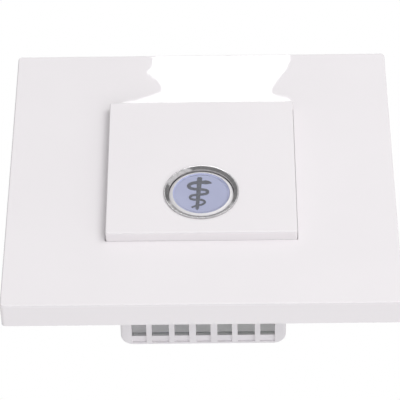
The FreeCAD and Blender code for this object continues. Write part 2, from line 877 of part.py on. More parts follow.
def make_controller_chip():
    """A chip with a row of bent legs on each side, on the back of the front board."""
    thin = s.lead_thickness
    half = s.lead_reach / 2
    body_front = FRONT_BOARD_BACK + thin / 2
    pieces = [block(s.chip_length, s.chip_height, s.chip_width, s.chip_x, body_front, CHIP_Z)]
    for offset in spread(DRIVING_SIZES["lead_count"], s.lead_pitch):
        x = s.chip_x + offset
        for side in (-1, 1):
            edge = CHIP_Z + side * s.chip_width / 2
            shoulder_y = FRONT_BOARD_BACK + s.lead_rise
            toe_z = edge + side * (s.lead_reach - half / 2)
            pieces.append(block(s.lead_width, thin, half, x, shoulder_y, edge + side * half / 2))
            knee_z = edge + side * half
            pieces.append(block(s.lead_width, s.lead_rise + thin, thin, x, FRONT_BOARD_BACK, knee_z))
            pieces.append(block(s.lead_width, thin, half, x, FRONT_BOARD_BACK, toe_z))
    sub_part(fused(pieces), "controller_chip")


def make_board_connector():
    """A pin strip on the rear board that plugs into a socket on the front board."""
    length = s.header_pitch * s.pin_count
    rows = [s.header_z + z for z in spread(DRIVING_SIZES["pin_count"], s.header_pitch)]
    hole = s.pin_width + 2 * s.socket_play
    pin_front = REAR_BOARD_FRONT - s.header_width - s.pin_dip
    shell = block(s.header_width, s.socket_height, length, HEADER_X, FRONT_BOARD_BACK, s.header_z)
    socket_back = FRONT_BOARD_BACK + s.socket_height
    hole_depth = socket_back - pin_front + s.socket_play
    holes = [block(hole, hole_depth, hole, HEADER_X, socket_back - hole_depth, z) for z in rows]
    sub_part(cut(shell, fused(holes)), "header_socket")
    strip_front = REAR_BOARD_FRONT - s.header_width
    strip = block(s.header_width, s.header_width, length, HEADER_X, strip_front, s.header_z)
    strip_holes = [block(s.pin_width, s.header_width, s.pin_width, HEADER_X, strip_front, z) for z in rows]
    sub_part(cut(strip, fused(strip_holes)), "header_strip")
    pin_length = REAR_BOARD_FRONT - pin_front
    pins = [block(s.pin_width, pin_length, s.pin_width, HEADER_X, pin_front, z) for z in rows]
    sub_part(grouped(pins), "header_pins")


def make_board_spacers():
    """Hexagonal spacers with a stud in front and a threaded hole behind."""
    spacers = []
    for x, z in POSTS:
        prism = DOC.addObject("Part::Prism", "Hexagon")
        prism.Polygon = 6
        bind(prism, {"Circumradius": s.spacer_flats / math.sqrt(3), "Height": s.board_spacing})
        prism.Placement = FreeCAD.Placement(
            FreeCAD.Vector(0, 0, 0), FreeCAD.Rotation(FreeCAD.Vector(1, 0, 0), -90)
        )
        place(prism, x, FRONT_BOARD_BACK, z)
        stud = rod(s.stud_radius, s.stud_length, x, FRONT_BOARD_BACK - s.stud_length, z)
        hole = rod(
            s.thread_radius + s.thread_clearance, s.thread_depth, x, REAR_BOARD_FRONT - s.thread_depth, z
        )
        spacers.append(cut(fused([prism, stud]), hole))
    sub_part(grouped(spacers), "board_spacers")


def make_slotted_screw(x, z, head_front, head, head_height, shank, shank_length, slot):
    """A screw whose head faces the back, with its shank to the front."""
    slot_width, slot_depth = slot
    pieces = fused(
        [
            rod(head, head_height, x, head_front, z),
            rod(shank, shank_length, x, head_front - shank_length, z),
        ]
    )
    slot_front = head_front + head_height - slot_depth
    return cut(pieces, block(2 * head, slot_depth, slot_width, x, slot_front, z))


def make_board_screws():
    screws = []
    shank_length = s.board_thickness + s.thread_depth - s.stud_hole_extra
    for x, z in POSTS:
        screws.append(
            make_slotted_screw(
                x,
                z,
                REAR_BOARD_BACK,
                s.screw_head_radius,
                s.screw_head_height,
                s.thread_radius,
                shank_length,
                (s.screw_slot_width, s.screw_slot_depth),
            )
        )
    sub_part(grouped(screws), "board_screws")


def make_rear_components():
    body = new_body("call_relay")
    outline = front_outline(body, REAR_BOARD_BACK + s.relay_height)
    outline.rectangle(s.relay_length, s.relay_width, RELAY_X, REAR_ROW_Z)
    outline.pad(s.relay_height)
    round_edges(body, s.relay_edge_radius, lambda edge: runs_along(edge, "Y"))
    x, z, radius = CAPACITOR_X, REAR_ROW_Z, s.capacitor_radius
    foot = rod(radius, s.capacitor_foot, x, REAR_BOARD_BACK, z)
    neck = rod(radius - s.capacitor_groove, s.capacitor_height, x, REAR_BOARD_BACK, z)
    can_front = REAR_BOARD_BACK + s.capacitor_foot + 2 * s.capacitor_groove
    can = rod(radius, s.capacitor_height - s.capacitor_foot - 2 * s.capacitor_groove, x, can_front, z)
    sub_part(fused([foot, neck, can]), "smoothing_capacitor")
    moulding = block(s.diode_length, s.diode_height, s.diode_width, DIODE_X, REAR_BOARD_BACK, z)
    tabs = block(DIODE_TABS, s.lead_thickness, s.diode_width / 2, DIODE_X, REAR_BOARD_BACK, z)
    sub_part(fused([moulding, tabs]), "surge_diode")


def make_terminals():
    """A four-pole screw terminal: wires enter from below, screws face the back."""
    entry_front = REAR_BOARD_BACK + s.terminal_entry_rise
    entry_back = entry_front + s.terminal_entry_height
    well_depth = REAR_BOARD_BACK + s.terminal_height - entry_back
    low_side = s.terminal_z - s.terminal_width / 2
    shell = block(
        TERMINAL_LENGTH, s.terminal_height, s.terminal_width, 0.0, REAR_BOARD_BACK, s.terminal_z
    )
    entry_length = s.clamp_depth + s.terminal_entry_rise
    tools = []
    clamps = []
    screws = []
    clamp_z = low_side + s.terminal_entry_rise + s.clamp_depth / 2
    clamp_width = s.terminal_entry_width - 2 * s.clamp_play
    clamp_height = s.terminal_entry_height - 2 * s.clamp_play
    for x in POLES:
        tools.append(
            block(
                s.terminal_entry_width,
                s.terminal_entry_height,
                entry_length + s.clamp_play,
                x,
                entry_front,
                low_side + (entry_length + s.clamp_play) / 2,
            )
        )
        tools.append(rod(s.terminal_well_radius, well_depth, x, entry_back, clamp_z))
        cage = block(clamp_width, clamp_height, s.clamp_depth, x, entry_front + s.clamp_play, clamp_z)
        way = block(
            clamp_width - 2 * s.clamp_wall,
            clamp_height - 2 * s.clamp_wall,
            s.clamp_depth,
            x,
            entry_front + s.clamp_play + s.clamp_wall,
            clamp_z,
        )
        thread = rod(
            s.terminal_screw_radius + s.thread_clearance,
            clamp_height / 2,
            x,
            entry_front + s.clamp_play + clamp_height / 2,
            clamp_z,
        )
        clamps.append(cut(cage, fused([way, thread])))
        well_end = REAR_BOARD_BACK + s.terminal_height
        head_front = well_end - s.terminal_screw_sink - s.terminal_screw_head_height
        screws.append(
            make_slotted_screw(
                x,
                clamp_z,
                head_front,
                s.terminal_screw_head_radius,
                s.terminal_screw_head_height,
                s.terminal_screw_radius,
                head_front - entry_back + s.clamp_play + 2 * s.clamp_wall,
                (s.terminal_screw_slot_width, s.terminal_screw_slot_depth),
            )
        )
    sub_part(cut(shell, fused(tools)), "terminal_block")
    sub_part(grouped(clamps), "terminal_clamps")
    sub_part(grouped(screws), "terminal_screws")


def make_module_housing():
    body = new_body("module_housing")
    box_depth = s.housing_depth + s.frame_thickness
    front_outline(body, s.housing_depth).rectangle(HOUSING_WIDTH, HOUSING_HEIGHT).pad(box_depth)
    round_edges(
        body,
        s.housing_corner_radius,
        lambda edge: runs_along(edge, "Z") and near(edge.CenterOfMass.y, number(s.housing_depth)),
    )
    round_edges(body, s.housing_edge_radius, lambda edge: edge_at_y(edge, s.housing_depth))
    neck = front_outline(body, FRAME_FRONT)
    neck.rectangle(HOUSING_WIDTH, NECK_HEIGHT).pad(FRAME_FRONT - INSERT_INNER)
    inner = front_outline(body, s.housing_depth - s.housing_wall)
    inner.rectangle(INNER_WIDTH, HOUSING_HEIGHT - 2 * s.housing_wall)
    inner.pocket(box_depth - 2 * s.housing_wall, backwards=True)
    throat = front_outline(body, FRAME_FRONT + s.housing_wall)
    throat.rectangle(INNER_WIDTH, NECK_HEIGHT - 2 * s.housing_wall)
    throat.pocket(backwards=True)
    make_terminal_opening(body)
    make_vents(body)
    make_latches(body)


def make_terminal_opening(body):
    top = s.terminal_z + s.terminal_width / 2 + s.opening_margin
    bottom = s.terminal_z - s.terminal_width / 2 - s.wire_room
    opening = front_outline(body, s.housing_depth)
    opening.rectangle(TERMINAL_LENGTH + 2 * s.opening_margin, top - bottom, 0.0, (top + bottom) / 2)
    opening.pocket(2 * s.housing_wall, backwards=True)


def make_vents(body):
    """A row of windows in the underside and the top, each in a shallow channel between two ribs."""
    window_end = s.housing_depth - s.vent_end
    channel_end = s.housing_depth - s.back_rim
    windows = Outline(body, "XY_Plane")
    channels = {}
    for level in (-1, 1):
        channels[level] = Outline(body, "XY_Plane", level * HOUSING_HEIGHT / 2)
    columns = spread(DRIVING_SIZES["vent_count"], s.vent_pitch)
    for i, x in enumerate(columns):
        wide = i in (1, len(columns) - 2)
        width = s.wide_vent_width if wide else s.vent_width
        windows.rectangle(width, s.vent_length, x, window_end - s.vent_length / 2)
        channel_length = s.vent_length + s.vent_end
        for channel in channels.values():
            channel.rectangle(width, channel_length, x, channel_end - channel_length / 2)
    windows.pocket(both_ways=True)
    channels[1].pocket(s.rib_rise)
    channels[-1].pocket(s.rib_rise, backwards=True)


def make_latches(body):
    """A wedge on each side that snaps in behind the mounting frame."""
    wedges = Outline(body, "XY_Plane")
    side = HOUSING_WIDTH / 2
    root = side - s.housing_wall / 2
    reach = side + s.latch_reach
    for hand in (-1, 1):
        wedges.polygon([(hand * root, 0.0), (hand * reach, 0.0), (hand * root, s.latch_run)])
    wedges.pad(s.latch_length, both_ways=True)


def failed(item):
    return any(word in item.State for word in ("Invalid", "Error"))


def check_and_write():
    """Stop if anything failed to build, then write one file for each piece."""
    DOC.recompute()
    bad = [item.Name for item in DOC.Objects if failed(item)]
    bad += [item.Label for item in SUB_PARTS if item.Shape.isNull() or not item.Shape.isValid()]
    if bad:
        raise RuntimeError(f"these did not build: {', '.join(bad)}")
    os.makedirs("parts", exist_ok=True)
    for item in SUB_PARTS:
        item.Shape.exportStep(os.path.join("parts", f"{item.Label}.step"))


def main():
    make_front_plate()
    make_mounting_frame()
    make_module_cover()
    make_button_bezel()
    make_button_lens()
    make_legend_disc()
    make_legend_symbol()
    make_button_carrier()
    make_return_spring()
    make_switch()
    make_board("button_board", s.front_board_depth)
    make_leds()
    make_led_resistors()
    make_controller_chip()
    make_board_connector()
    make_board_spacers()
    make_board("interface_board", REAR_BOARD_FRONT)
    make_board_screws()
    make_rear_components()
    make_terminals()
    make_module_housing()
    check_and_write()


main()
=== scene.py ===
"""The finished look of a wall-mounted medical alarm button, built round its frame.

Lengths are in metres. X points right as seen from the front, Z points up and the front faces -Y.
"""

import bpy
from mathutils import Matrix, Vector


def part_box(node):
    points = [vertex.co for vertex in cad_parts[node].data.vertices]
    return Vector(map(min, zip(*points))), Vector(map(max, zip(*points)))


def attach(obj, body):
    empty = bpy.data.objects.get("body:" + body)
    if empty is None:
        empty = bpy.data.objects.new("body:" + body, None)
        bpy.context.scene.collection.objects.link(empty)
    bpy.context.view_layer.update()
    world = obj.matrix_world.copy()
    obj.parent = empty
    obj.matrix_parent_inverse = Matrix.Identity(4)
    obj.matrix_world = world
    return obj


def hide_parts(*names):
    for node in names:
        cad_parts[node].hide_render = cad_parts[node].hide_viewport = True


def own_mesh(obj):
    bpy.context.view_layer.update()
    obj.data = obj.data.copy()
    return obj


bl_info = {
    "name": "Medical Alarm Button",
    "version": (1, 0, 0),
    "blender": (4, 5, 0),
    "location": "View3D > Sidebar > Alarm Button",
    "description": "Builds the looks of a wall-mounted medical alarm button piece by piece",
    "category": "Object",
}

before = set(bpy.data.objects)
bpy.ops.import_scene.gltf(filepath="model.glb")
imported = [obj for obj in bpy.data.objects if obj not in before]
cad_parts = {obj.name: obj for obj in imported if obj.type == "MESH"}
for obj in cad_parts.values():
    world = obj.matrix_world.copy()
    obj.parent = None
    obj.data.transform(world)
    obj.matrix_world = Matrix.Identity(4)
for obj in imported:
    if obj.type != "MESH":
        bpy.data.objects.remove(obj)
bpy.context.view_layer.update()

import math

import bmesh
import bpy
from bpy.props import FloatProperty, FloatVectorProperty, IntProperty, PointerProperty
from mathutils import Matrix, Vector

MM = 0.001
TAU = 2 * math.pi
CORNER_STEPS = 8
EDGE_STEPS = 6
SOFT_STEPS = 4
LATHE_STEPS = 192
SMOOTH_ANGLE = math.radians(32)
ON_AXIS = 1e-9
PAINT_BLUR = 0.03 * MM
TOP_SKIN = 0.1 * MM
HOUSING_WALL = 1.6 * MM
SPACER_FLATS = 4.5 * MM
WHITE = (1.0, 1.0, 1.0, 1.0)
TIN = (0.62, 0.62, 0.6)
CHIP_BLACK = (0.02, 0.02, 0.02)


class Box:
    """The place of one piece of the frame, with names for its sides."""

    def __init__(self, node):
        low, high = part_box(node)
        self.left, self.front, self.bottom = low
        self.right, self.back, self.top = high
        self.middle = (low + high) / 2
        self.width, self.depth, self.height = high - low


PLATE = Box("front_plate")
FRAME = Box("mounting_frame")
COVER = Box("module_cover")
HOUSING = Box("module_housing")
BEZEL = Box("button_bezel")
LENS = Box("button_lens")
LEGEND = Box("legend_disc")
CARRIER = Box("button_carrier")
SPRING = Box("return_spring")
BUTTON_BOARD = Box("button_board")
BUTTON_Z = BEZEL.middle.z


def number(name, description, default, **limits):
    """A property that holds one number."""
    return FloatProperty(name=name, description=description, default=default, **limits)


def length(name, description, default):
    """A property that holds a length in metres."""
    return number(name, description, default, min=0.0, precision=5, unit="LENGTH")


def share(name, description, default):
    """A property that holds a share from 0 to 1."""
    return number(name, description, default, min=0.0, max=1.0, subtype="FACTOR")


def paint(name, description, default):
    """A property that holds a colour."""
    return FloatVectorProperty(
        name=name, description=description, default=default, min=0.0, max=1.0, subtype="COLOR"
    )


def turn(name, description, degrees):
    """A property that holds an angle, given in degrees and kept in radians."""
    return number(name, description, math.radians(degrees), subtype="ANGLE")


class PlateSettings(bpy.types.PropertyGroup):
    edge_radius: length("Edge radius", "Rounding of the plate's front edges", 0.00035)
    corner_radius: length("Corner radius", "Rounding of the plate's four corners", 0.0009)
    front_wall: length("Front wall", "Thickness of the plate's front", 0.0022)
    side_wall: length("Side wall", "Thickness of the plate's sides", 0.002)
    side_gap: length("Side gap", "Gap between the window and the module, left and right", 0.00015)
    level_gap: length("Level gap", "Gap between the window and the module, above and below", 0.00001)
    window_radius: length("Window radius", "Rounding of the window's front edge", 0.00006)
    collar_wall: length("Collar wall", "Thickness of the collar behind the window", 0.0014)
    collar_gap: length("Collar gap", "Gap between the collar and the mounting frame", 0.0003)
    catch_x: length("Catch place", "Distance of each catch from the middle, left or right", 0.024)
    catch_z: length("Catch height", "Distance of each catch from the middle, up or down", 0.0324)
    catch_width: length("Catch width", "Width of a catch", 0.005)
    catch_thickness: length("Catch thickness", "Thickness of a catch's arm", 0.0014)
    catch_barb: length("Catch barb", "How far a catch's barb stands out from its arm", 0.0008)
    catch_barb_depth: length("Barb depth", "Depth of a catch's barb", 0.0008)
    colour: paint("Colour", "Colour of the plate", (0.84, 0.81, 0.83))
    roughness: share("Roughness", "Roughness of the plate's surface", 0.02)
    # Painted shade on the plate: how light its walls and rounded front edge are coloured against its face.
    wall_painted_shade: share("Wall shade", "How light the walls are against the plate's face", 0.97)
    edge_painted_shade: share("Edge shade", "How light the rounded edge is against the plate's face", 0.86)


class CoverSettings(bpy.types.PropertyGroup):
    edge_radius: length("Edge radius", "Rounding of the cover's front edges", 0.0003)
    corner_radius: length("Corner radius", "Rounding of the cover's four corners", 0.0005)
    front_wall: length("Front wall", "Thickness of the cover's front", 0.002)
    side_wall: length("Side wall", "Thickness of the cover's sides", 0.0016)
    hole_radius: length("Hole radius", "Radius of the hole for the bezel", 0.00843)
    boss_wall: length("Boss wall", "Wall of the boss round the bezel", 0.0012)
    post_radius: length("Post radius", "Radius of the posts for the boards", 0.0024)
    pilot_radius: length("Pilot radius", "Radius of the hole in each post", 0.0012)
    pilot_depth: length("Pilot depth", "Depth of the hole in each post", 0.004)
    colour: paint("Colour", "Colour of the cover", (0.84, 0.81, 0.83))
    roughness: share("Roughness", "Roughness of the cover's surface", 0.02)
    # Painted shade on the cover: how light its walls and rounded front edge are coloured against its face.
    wall_painted_shade: share("Wall shade", "How light the walls are against the cover's face", 0.88)
    edge_painted_shade: share("Edge shade", "How light the rounded edge is against the cover's face", 0.84)


class ButtonSettings(bpy.types.PropertyGroup):
    bore_radius: length("Bore radius", "Radius of the bezel's bore", 0.0076)
    barrel_wall: length("Barrel wall", "Wall of the bezel's barrel", 0.0008)
    lip_land: length("Lip land", "Flat ring at the front of the bezel", 0.0003)
    lip_trim: length("Lip trim", "How much the finished lip is narrower than turned", 0.0002)
    lip_rise: length("Lip rise", "How far the bezel's lip stands proud of the cover", 0.0003)
    cone_depth: length("Cone depth", "Depth of the bezel's conical face", 0.00035)
    lip_rounding: length("Lip rounding", "Rounding of the bezel's edges", 0.00006)
    cap_gap: length("Cap gap", "Gap between the cap and the bezel's bore", 0.0001)
    bevel_depth: length("Bevel depth", "Depth of the cap's bevelled rim", 0.00045)
    cap_wall: length("Cap wall", "Thickness of the cap's wall", 0.0012)
    cap_floor: length("Cap floor", "Thickness of the cap behind the legend", 0.001)
    flange_depth: length("Flange depth", "Thickness of the cap's flange", 0.0009)
    stem_radius: length("Stem radius", "Radius of the cap's post for the switch", 0.00175)
    lens_fit: length("Lens fit", "Gap between the lens and the cap's rim", 0.00002)
    print_margin: length("Print margin", "Margin from the lens's edge to the recess for the print", 0.0005)
    print_depth: length("Print depth", "Depth of the recess for the print", 0.00012)
    metal: paint("Metal", "Colour of the bezel's plating", (0.54, 0.53, 0.54))
    cap: paint("Cap", "Colour of the cap", (0.8, 0.785, 0.8))
    film: paint("Film", "Colour of the legend behind the lens", (0.36, 0.38, 0.545))
    film_tint: paint("Film tint", "Second colour that the legend drifts to", (0.395, 0.42, 0.585))
    ink: paint("Ink", "Colour of the printed symbol", (0.06, 0.065, 0.085))


class SpringSettings(bpy.types.PropertyGroup):
    turns: IntProperty(name="Turns", description="Turns of the return spring", default=5, min=2)
    wire_radius: length("Wire radius", "Radius of the spring's wire", 0.0002)


class StageSettings(bpy.types.PropertyGroup):
    azimuth: turn("Azimuth", "Angle of the camera from straight ahead to the right", 0.798)
    elevation: turn("Elevation", "Angle of the camera above the level", -45.078)
    roll: turn("Roll", "Turn of the camera about its own line of sight", -0.026)
    distance: length("Distance", "Distance of the camera from its target", 0.5744)
    target: FloatVectorProperty(
        name="Target",
        description="Point that the camera looks at",
        default=(-0.00033, -0.0068, -0.00888),
        precision=5,
        subtype="TRANSLATION",
        unit="LENGTH",
    )
    lens: number("Lens", "Focal length of the camera in millimetres", 222.15)
    key_azimuth: turn("Key azimuth", "Angle of the main lamp from straight ahead to the right", 28.5)
    key_elevation: turn("Key elevation", "Angle of the main lamp above the level", 2.0)
    key_distance: length("Key distance", "Distance of the main lamp", 1.25)
    key_size: length("Key size", "Width of the main lamp", 0.85)
    key_power: number("Key power", "Power of the main lamp", 5.7, unit="POWER")
    low_azimuth: turn("Low azimuth", "Angle of the low lamp from straight ahead to the right", 38.0)
    low_elevation: turn("Low elevation", "Angle of the low lamp above the level", -60.0)
    low_distance: length("Low distance", "Distance of the low lamp", 1.6)
    low_size: length("Low size", "Width of the low lamp", 2.4)
    low_power: number("Low power", "Power of the low lamp", 22.0, unit="POWER")
    fill: number("Fill", "Brightness of the room's own light", 0.5)
    floor_drop: length("Floor drop", "How far the floor lies below the plate's middle", 2.5)
    floor_lift: share("Floor lift", "How much paler the floor is seen than it is lit", 0.35)


SETTINGS = {
    "alarm_plate": PlateSettings,
    "alarm_cover": CoverSettings,
    "alarm_button": ButtonSettings,
    "alarm_spring": SpringSettings,
    "alarm_stage": StageSettings,
}


def rounded_rectangle(half, inset, radius, y, side_steps=1):
    """A closed loop of points round an inset rectangle with round corners, square to Y."""
    reach_x, reach_z = half[0] - inset - radius, half[1] - inset - radius
    corners = []
    for side_x, side_z, start in ((1, -1, -0.25), (1, 1, 0.0), (-1, 1, 0.25), (-1, -1, 0.5)):
        for step in range(CORNER_STEPS + 1):
            angle = TAU * (start + 0.25 * step / CORNER_STEPS)
            x = side_x * reach_x + radius * math.cos(angle)
            z = side_z * reach_z + radius * math.sin(angle)
            corners.append(Vector((x, y, z)))
    points = []
    for i, point in enumerate(corners):
        points.append(point)
        if i % (CORNER_STEPS + 1) == CORNER_STEPS:
            following = corners[(i + 1) % len(corners)]
            points += [point.lerp(following, k / side_steps) for k in range(1, side_steps)]
    return points


def quarter_round(radius):
    """Steps round an edge, each as (distance in from the side, distance back from the front)."""
    angles = [math.pi / 2 * step / EDGE_STEPS for step in range(EDGE_STEPS + 1)]
    return [(radius * (1 - math.cos(angle)), radius * (1 - math.sin(angle))) for angle in angles]


def circle(radius, y, count):
    """A loop of points round the button's axis, in step with a rounded rectangle of as many."""
    points = []
    for i in range(count):
        angle = TAU * ((i - CORNER_STEPS / 2) / count - 0.125)
        points.append(Vector((radius * math.cos(angle), y, BUTTON_Z + radius * math.sin(angle))))
    return points


def loft(mesh, loops, closed=True):
    """Skin a run of loops that have as many points each, back to the first loop if closed."""
    rings = [[mesh.verts.new(point) for point in points] for points in loops]
    count = len(rings[0])
    for first, second in zip(rings, rings[1:] + rings[:1] if closed else rings[1:]):
        for i in range(count):
            j = (i + 1) % count
            mesh.faces.new((first[i], first[j], second[j], second[i]))
    return rings


def capped_loft(mesh, loops):
    """Skin an open run of loops and close its two ends."""
    rings = loft(mesh, loops, closed=False)
    mesh.faces.new(rings[0])
    mesh.faces.new(rings[-1])


def lathe(mesh, profile, steps=LATHE_STEPS, centre_x=0.0, centre_z=BUTTON_Z):
    """Turn a closed profile of (y, radius) points about an axis along Y."""
    rings = []
    for y, radius in profile:
        ring = []
        for i in range(1 if radius < ON_AXIS else steps):
            angle = TAU * i / steps
            x, z = centre_x + radius * math.cos(angle), centre_z + radius * math.sin(angle)
            ring.append(mesh.verts.new((x, y, z)))
        rings.append(ring)
    for first, second in zip(rings, rings[1:] + rings[:1]):
        if len(first) == len(second) == 1:
            continue
        for i in range(steps):
            j = (i + 1) % steps
            if len(first) == 1:
                mesh.faces.new((first[0], second[j], second[i]))
            elif len(second) == 1:
                mesh.faces.new((first[i], first[j], second[0]))
            else:
                mesh.faces.new((first[i], first[j], second[j], second[i]))


def softened(corners, radius):
    """Round the corners of a closed profile, each given as (y, radius, share of the rounding)."""
    points = []
    for i, (y, r, rounding) in enumerate(corners):
        if not rounding:
            points.append((y, r))
            continue
        here = Vector((y, r))
        before = Vector(corners[i - 1][:2]) - here
        after = Vector(corners[(i + 1) % len(corners)][:2]) - here
        cut = min(radius * rounding, before.length / 2, after.length / 2)
        start, end = here + before.normalized() * cut, here + after.normalized() * cut
        for step in range(SOFT_STEPS + 1):
            k = step / SOFT_STEPS
            point = start * (1 - k) ** 2 + here * (2 * k * (1 - k)) + end * k**2
            points.append((point.x, point.y))
    return points


def turned(corners, rounding):
    """A mesh turned about the button's axis from a profile with rounded corners."""
    mesh = bmesh.new()
    lathe(mesh, softened(corners, rounding))
    return mesh


def board_posts():
    """The four places where screws and spacers hold the boards, as (x, z)."""
    spacers = Box("board_spacers")
    x, z = (spacers.width - SPACER_FLATS) / 2, (spacers.height - SPACER_FLATS) / 2
    return [(side * x, level * z) for side in (-1, 1) for level in (-1, 1)]


def new_object(name, mesh, material):
    """Make an object of a mesh and give it its finish."""
    data = bpy.data.meshes.new(name)
    mesh.to_mesh(data)
    mesh.free()
    data.materials.append(material)
    item = bpy.data.objects.new(name, data)
    bpy.context.scene.collection.objects.link(item)
    return item


def hide_from(item, *rays):
    """Let some kinds of ray pass through an object."""
    for ray in rays:
        setattr(item, f"visible_{ray}", False)


def piece(name, mesh, material, body, node):
    """Make a piece that rides on its body and stands for a node of the frame."""
    bmesh.ops.recalc_face_normals(mesh, faces=mesh.faces)
    item = new_object(name, mesh, material)
    item.data.shade_smooth()
    item.data.set_sharp_from_angle(angle=SMOOTH_ANGLE)
    # Normals weighed by area keep a flat face flat up to its rounded edge.
    weighing = item.modifiers.new("flat_faces", "WEIGHTED_NORMAL")
    weighing.keep_sharp = True
    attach(item, body)
    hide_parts(node)
    return item


def finish_node(node, material):
    """Give a piece of the frame its finish, with its shape as it is."""
    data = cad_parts[node].data
    data.materials.clear()
    data.materials.append(material)


def fill_inputs(tree, node, inputs):
    """Link each input of a node to a socket, or set it to a value."""
    for name, value in inputs.items():
        if isinstance(value, bpy.types.NodeSocket):
            tree.links.new(value, node.inputs[name])
        else:
            node.inputs[name].default_value = value


def add_node(tree, kind, inputs, **settings):
    """Add a node and return its outputs."""
    node = tree.nodes.new(f"ShaderNode{kind}")
    for setting, value in settings.items():
        setattr(node, setting, value)
    fill_inputs(tree, node, inputs)
    return node.outputs


def shader(tree):
    return tree.nodes["Principled BSDF"]


def new_material(name, colour, roughness, metallic=0.0):
    """A material of one colour and roughness to start from, with its node tree."""
    material = bpy.data.materials.new(name)
    material.use_nodes = True
    tree = material.node_tree
    start = {"Base Color": (*colour, 1.0), "Roughness": roughness, "Metallic": metallic}
    fill_inputs(tree, shader(tree), start)
    return material, tree


def own_place(tree, **change):
    """The place of a point in its piece's own space, changed as asked."""
    place = add_node(tree, "TexCoord", {})["Object"]
    if not change:
        return place
    return add_node(tree, "Mapping", {"Vector": place, **change})["Vector"]


def noise(tree, lumps_per_mm, detail=2.0, **change):
    inputs = {"Vector": own_place(tree, **change), "Scale": lumps_per_mm / MM, "Detail": detail}
    return add_node(tree, "TexNoise", inputs)["Fac"]


def ranged(tree, value, low, high, start=0.3, end=0.7):
    """Map a value smoothly from start..end to low..high."""
    inputs = {"Value": value, "From Min": start, "From Max": end, "To Min": low, "To Max": high}
    return add_node(tree, "MapRange", inputs, interpolation_type="SMOOTHSTEP")["Result"]


def colour_with(tree, factor, first, second):
    """Colour the surface with a mix, whose first colour may be a socket."""
    if not isinstance(first, bpy.types.NodeSocket):
        first = (*first, 1.0)
    inputs = {0: factor, 6: first, 7: (*second, 1.0)}
    mix = add_node(tree, "Mix", inputs, data_type="RGBA")[2]
    fill_inputs(tree, shader(tree), {"Base Color": mix})


def calculated(tree, operation, first, second=0.0):
    return add_node(tree, "Math", {0: first, 1: second}, operation=operation)[0]


def coordinate(tree, axis, source="Object"):
    place = add_node(tree, "TexCoord", {})[source]
    return add_node(tree, "SeparateXYZ", {0: place})[axis]


def above(tree, axis, edge, blur=PAINT_BLUR, source="Object"):
    """A mask that turns from 0 to 1 where a coordinate passes an edge."""
    return ranged(tree, coordinate(tree, axis, source), 0.0, 1.0, edge - blur, edge + blur)


def between(tree, axis, low, high):
    """A mask that is 1 where a coordinate lies between two edges."""
    return calculated(tree, "SUBTRACT", above(tree, axis, low), above(tree, axis, high))


def outside(tree, mask):
    """A mask that is 1 where another is 0."""
    return calculated(tree, "SUBTRACT", 1.0, mask)


def both(tree, first, second):
    """A mask that is 1 where two others are."""
    return calculated(tree, "MULTIPLY", first, second)


def any_of(tree, masks):
    """A mask that is 1 where at least one of several is."""
    result = masks[0]
    for mask in masks[1:]:
        result = calculated(tree, "MAXIMUM", result, mask)
    return result


def within(tree, box, inset_x, inset_z):
    """A mask that is 1 inside a box's outline as seen from the front, less an inset on each side."""
    across = between(tree, "X", box.left + inset_x, box.right - inset_x)
    return both(tree, across, between(tree, "Z", box.bottom + inset_z, box.top - inset_z))


def distance_from(tree, x=0.0, z=BUTTON_Z):
    """The distance of a point from an axis along Y, the button's own if none is given."""
    place = own_place(tree, Location=(-x, 0.0, -z), Scale=(1.0, 0.0, 1.0))
    return add_node(tree, "VectorMath", {0: place}, operation="LENGTH")["Value"]


def disc(tree, x, z, radius):
    """A mask that is 1 within a radius of an axis along Y."""
    start, end = radius - PAINT_BLUR, radius + PAINT_BLUR
    return ranged(tree, distance_from(tree, x, z), 1.0, 0.0, start, end)


def repaint(tree, mask, colour):
    """Paint over the colour so far where a mask is 1."""
    under = shader(tree).inputs["Base Color"].links[0].from_socket
    colour_with(tree, mask, under, colour)


def plate_with(tree, mask, colour):
    """Cover what a mask picks out with bare metal."""
    repaint(tree, mask, colour)
    fill_inputs(tree, shader(tree), {"Metallic": mask})


def mottle(tree, amount, lumps_per_mm):
    """Let the material's colour drift a little to each side."""
    colour = tuple(shader(tree).inputs["Base Color"].default_value)[:3]
    darker = [c * (1 - amount) for c in colour]
    lighter = [min(1.0, c * (1 + amount)) for c in colour]
    drift = ranged(tree, noise(tree, lumps_per_mm, 3.0), 0.0, 1.0)
    colour_with(tree, drift, darker, lighter)


def drift_roughness(tree, low, high, lumps_per_mm, **change):
    value = ranged(tree, noise(tree, lumps_per_mm, 3.0, **change), low, high)
    fill_inputs(tree, shader(tree), {"Roughness": value})


def add_bump(tree, height, depth):
    """Lay a bump, whose depth is in metres, over those that are there."""
    inputs = {"Height": height, "Distance": depth}
    for link in shader(tree).inputs["Normal"].links:
        inputs["Normal"] = link.from_socket
    fill_inputs(tree, shader(tree), {"Normal": add_node(tree, "Bump", inputs)["Normal"]})


def gloss_plastic(name, front, moulding):
    """Glossy white moulding: fine haze, next to no grain and colour that drifts very slightly.

    Its walls, and the rounded edge before them, carry painted shade: their colour is a little darker than
    its face.
    """
    roughness, face_depth, edge_share = moulding.roughness, 0.05 * MM, 0.8
    material, tree = new_material(name, moulding.colour, roughness)
    mottle(tree, amount=0.006, lumps_per_mm=0.05)
    drift_roughness(tree, roughness * 0.8, roughness * 1.3, lumps_per_mm=0.12)
    add_bump(tree, noise(tree, lumps_per_mm=1.4), 0.25e-6)
    edge = front + edge_share * moulding.edge_radius
    walls, rounded = above(tree, "Y", edge), between(tree, "Y", front + face_depth, edge)
    # Painted shade: the walls and the rounded edge are coloured darker than the face.
    repaint(tree, walls, [c * moulding.wall_painted_shade for c in moulding.colour])
    repaint(tree, rounded, [c * moulding.edge_painted_shade for c in moulding.colour])
    return material


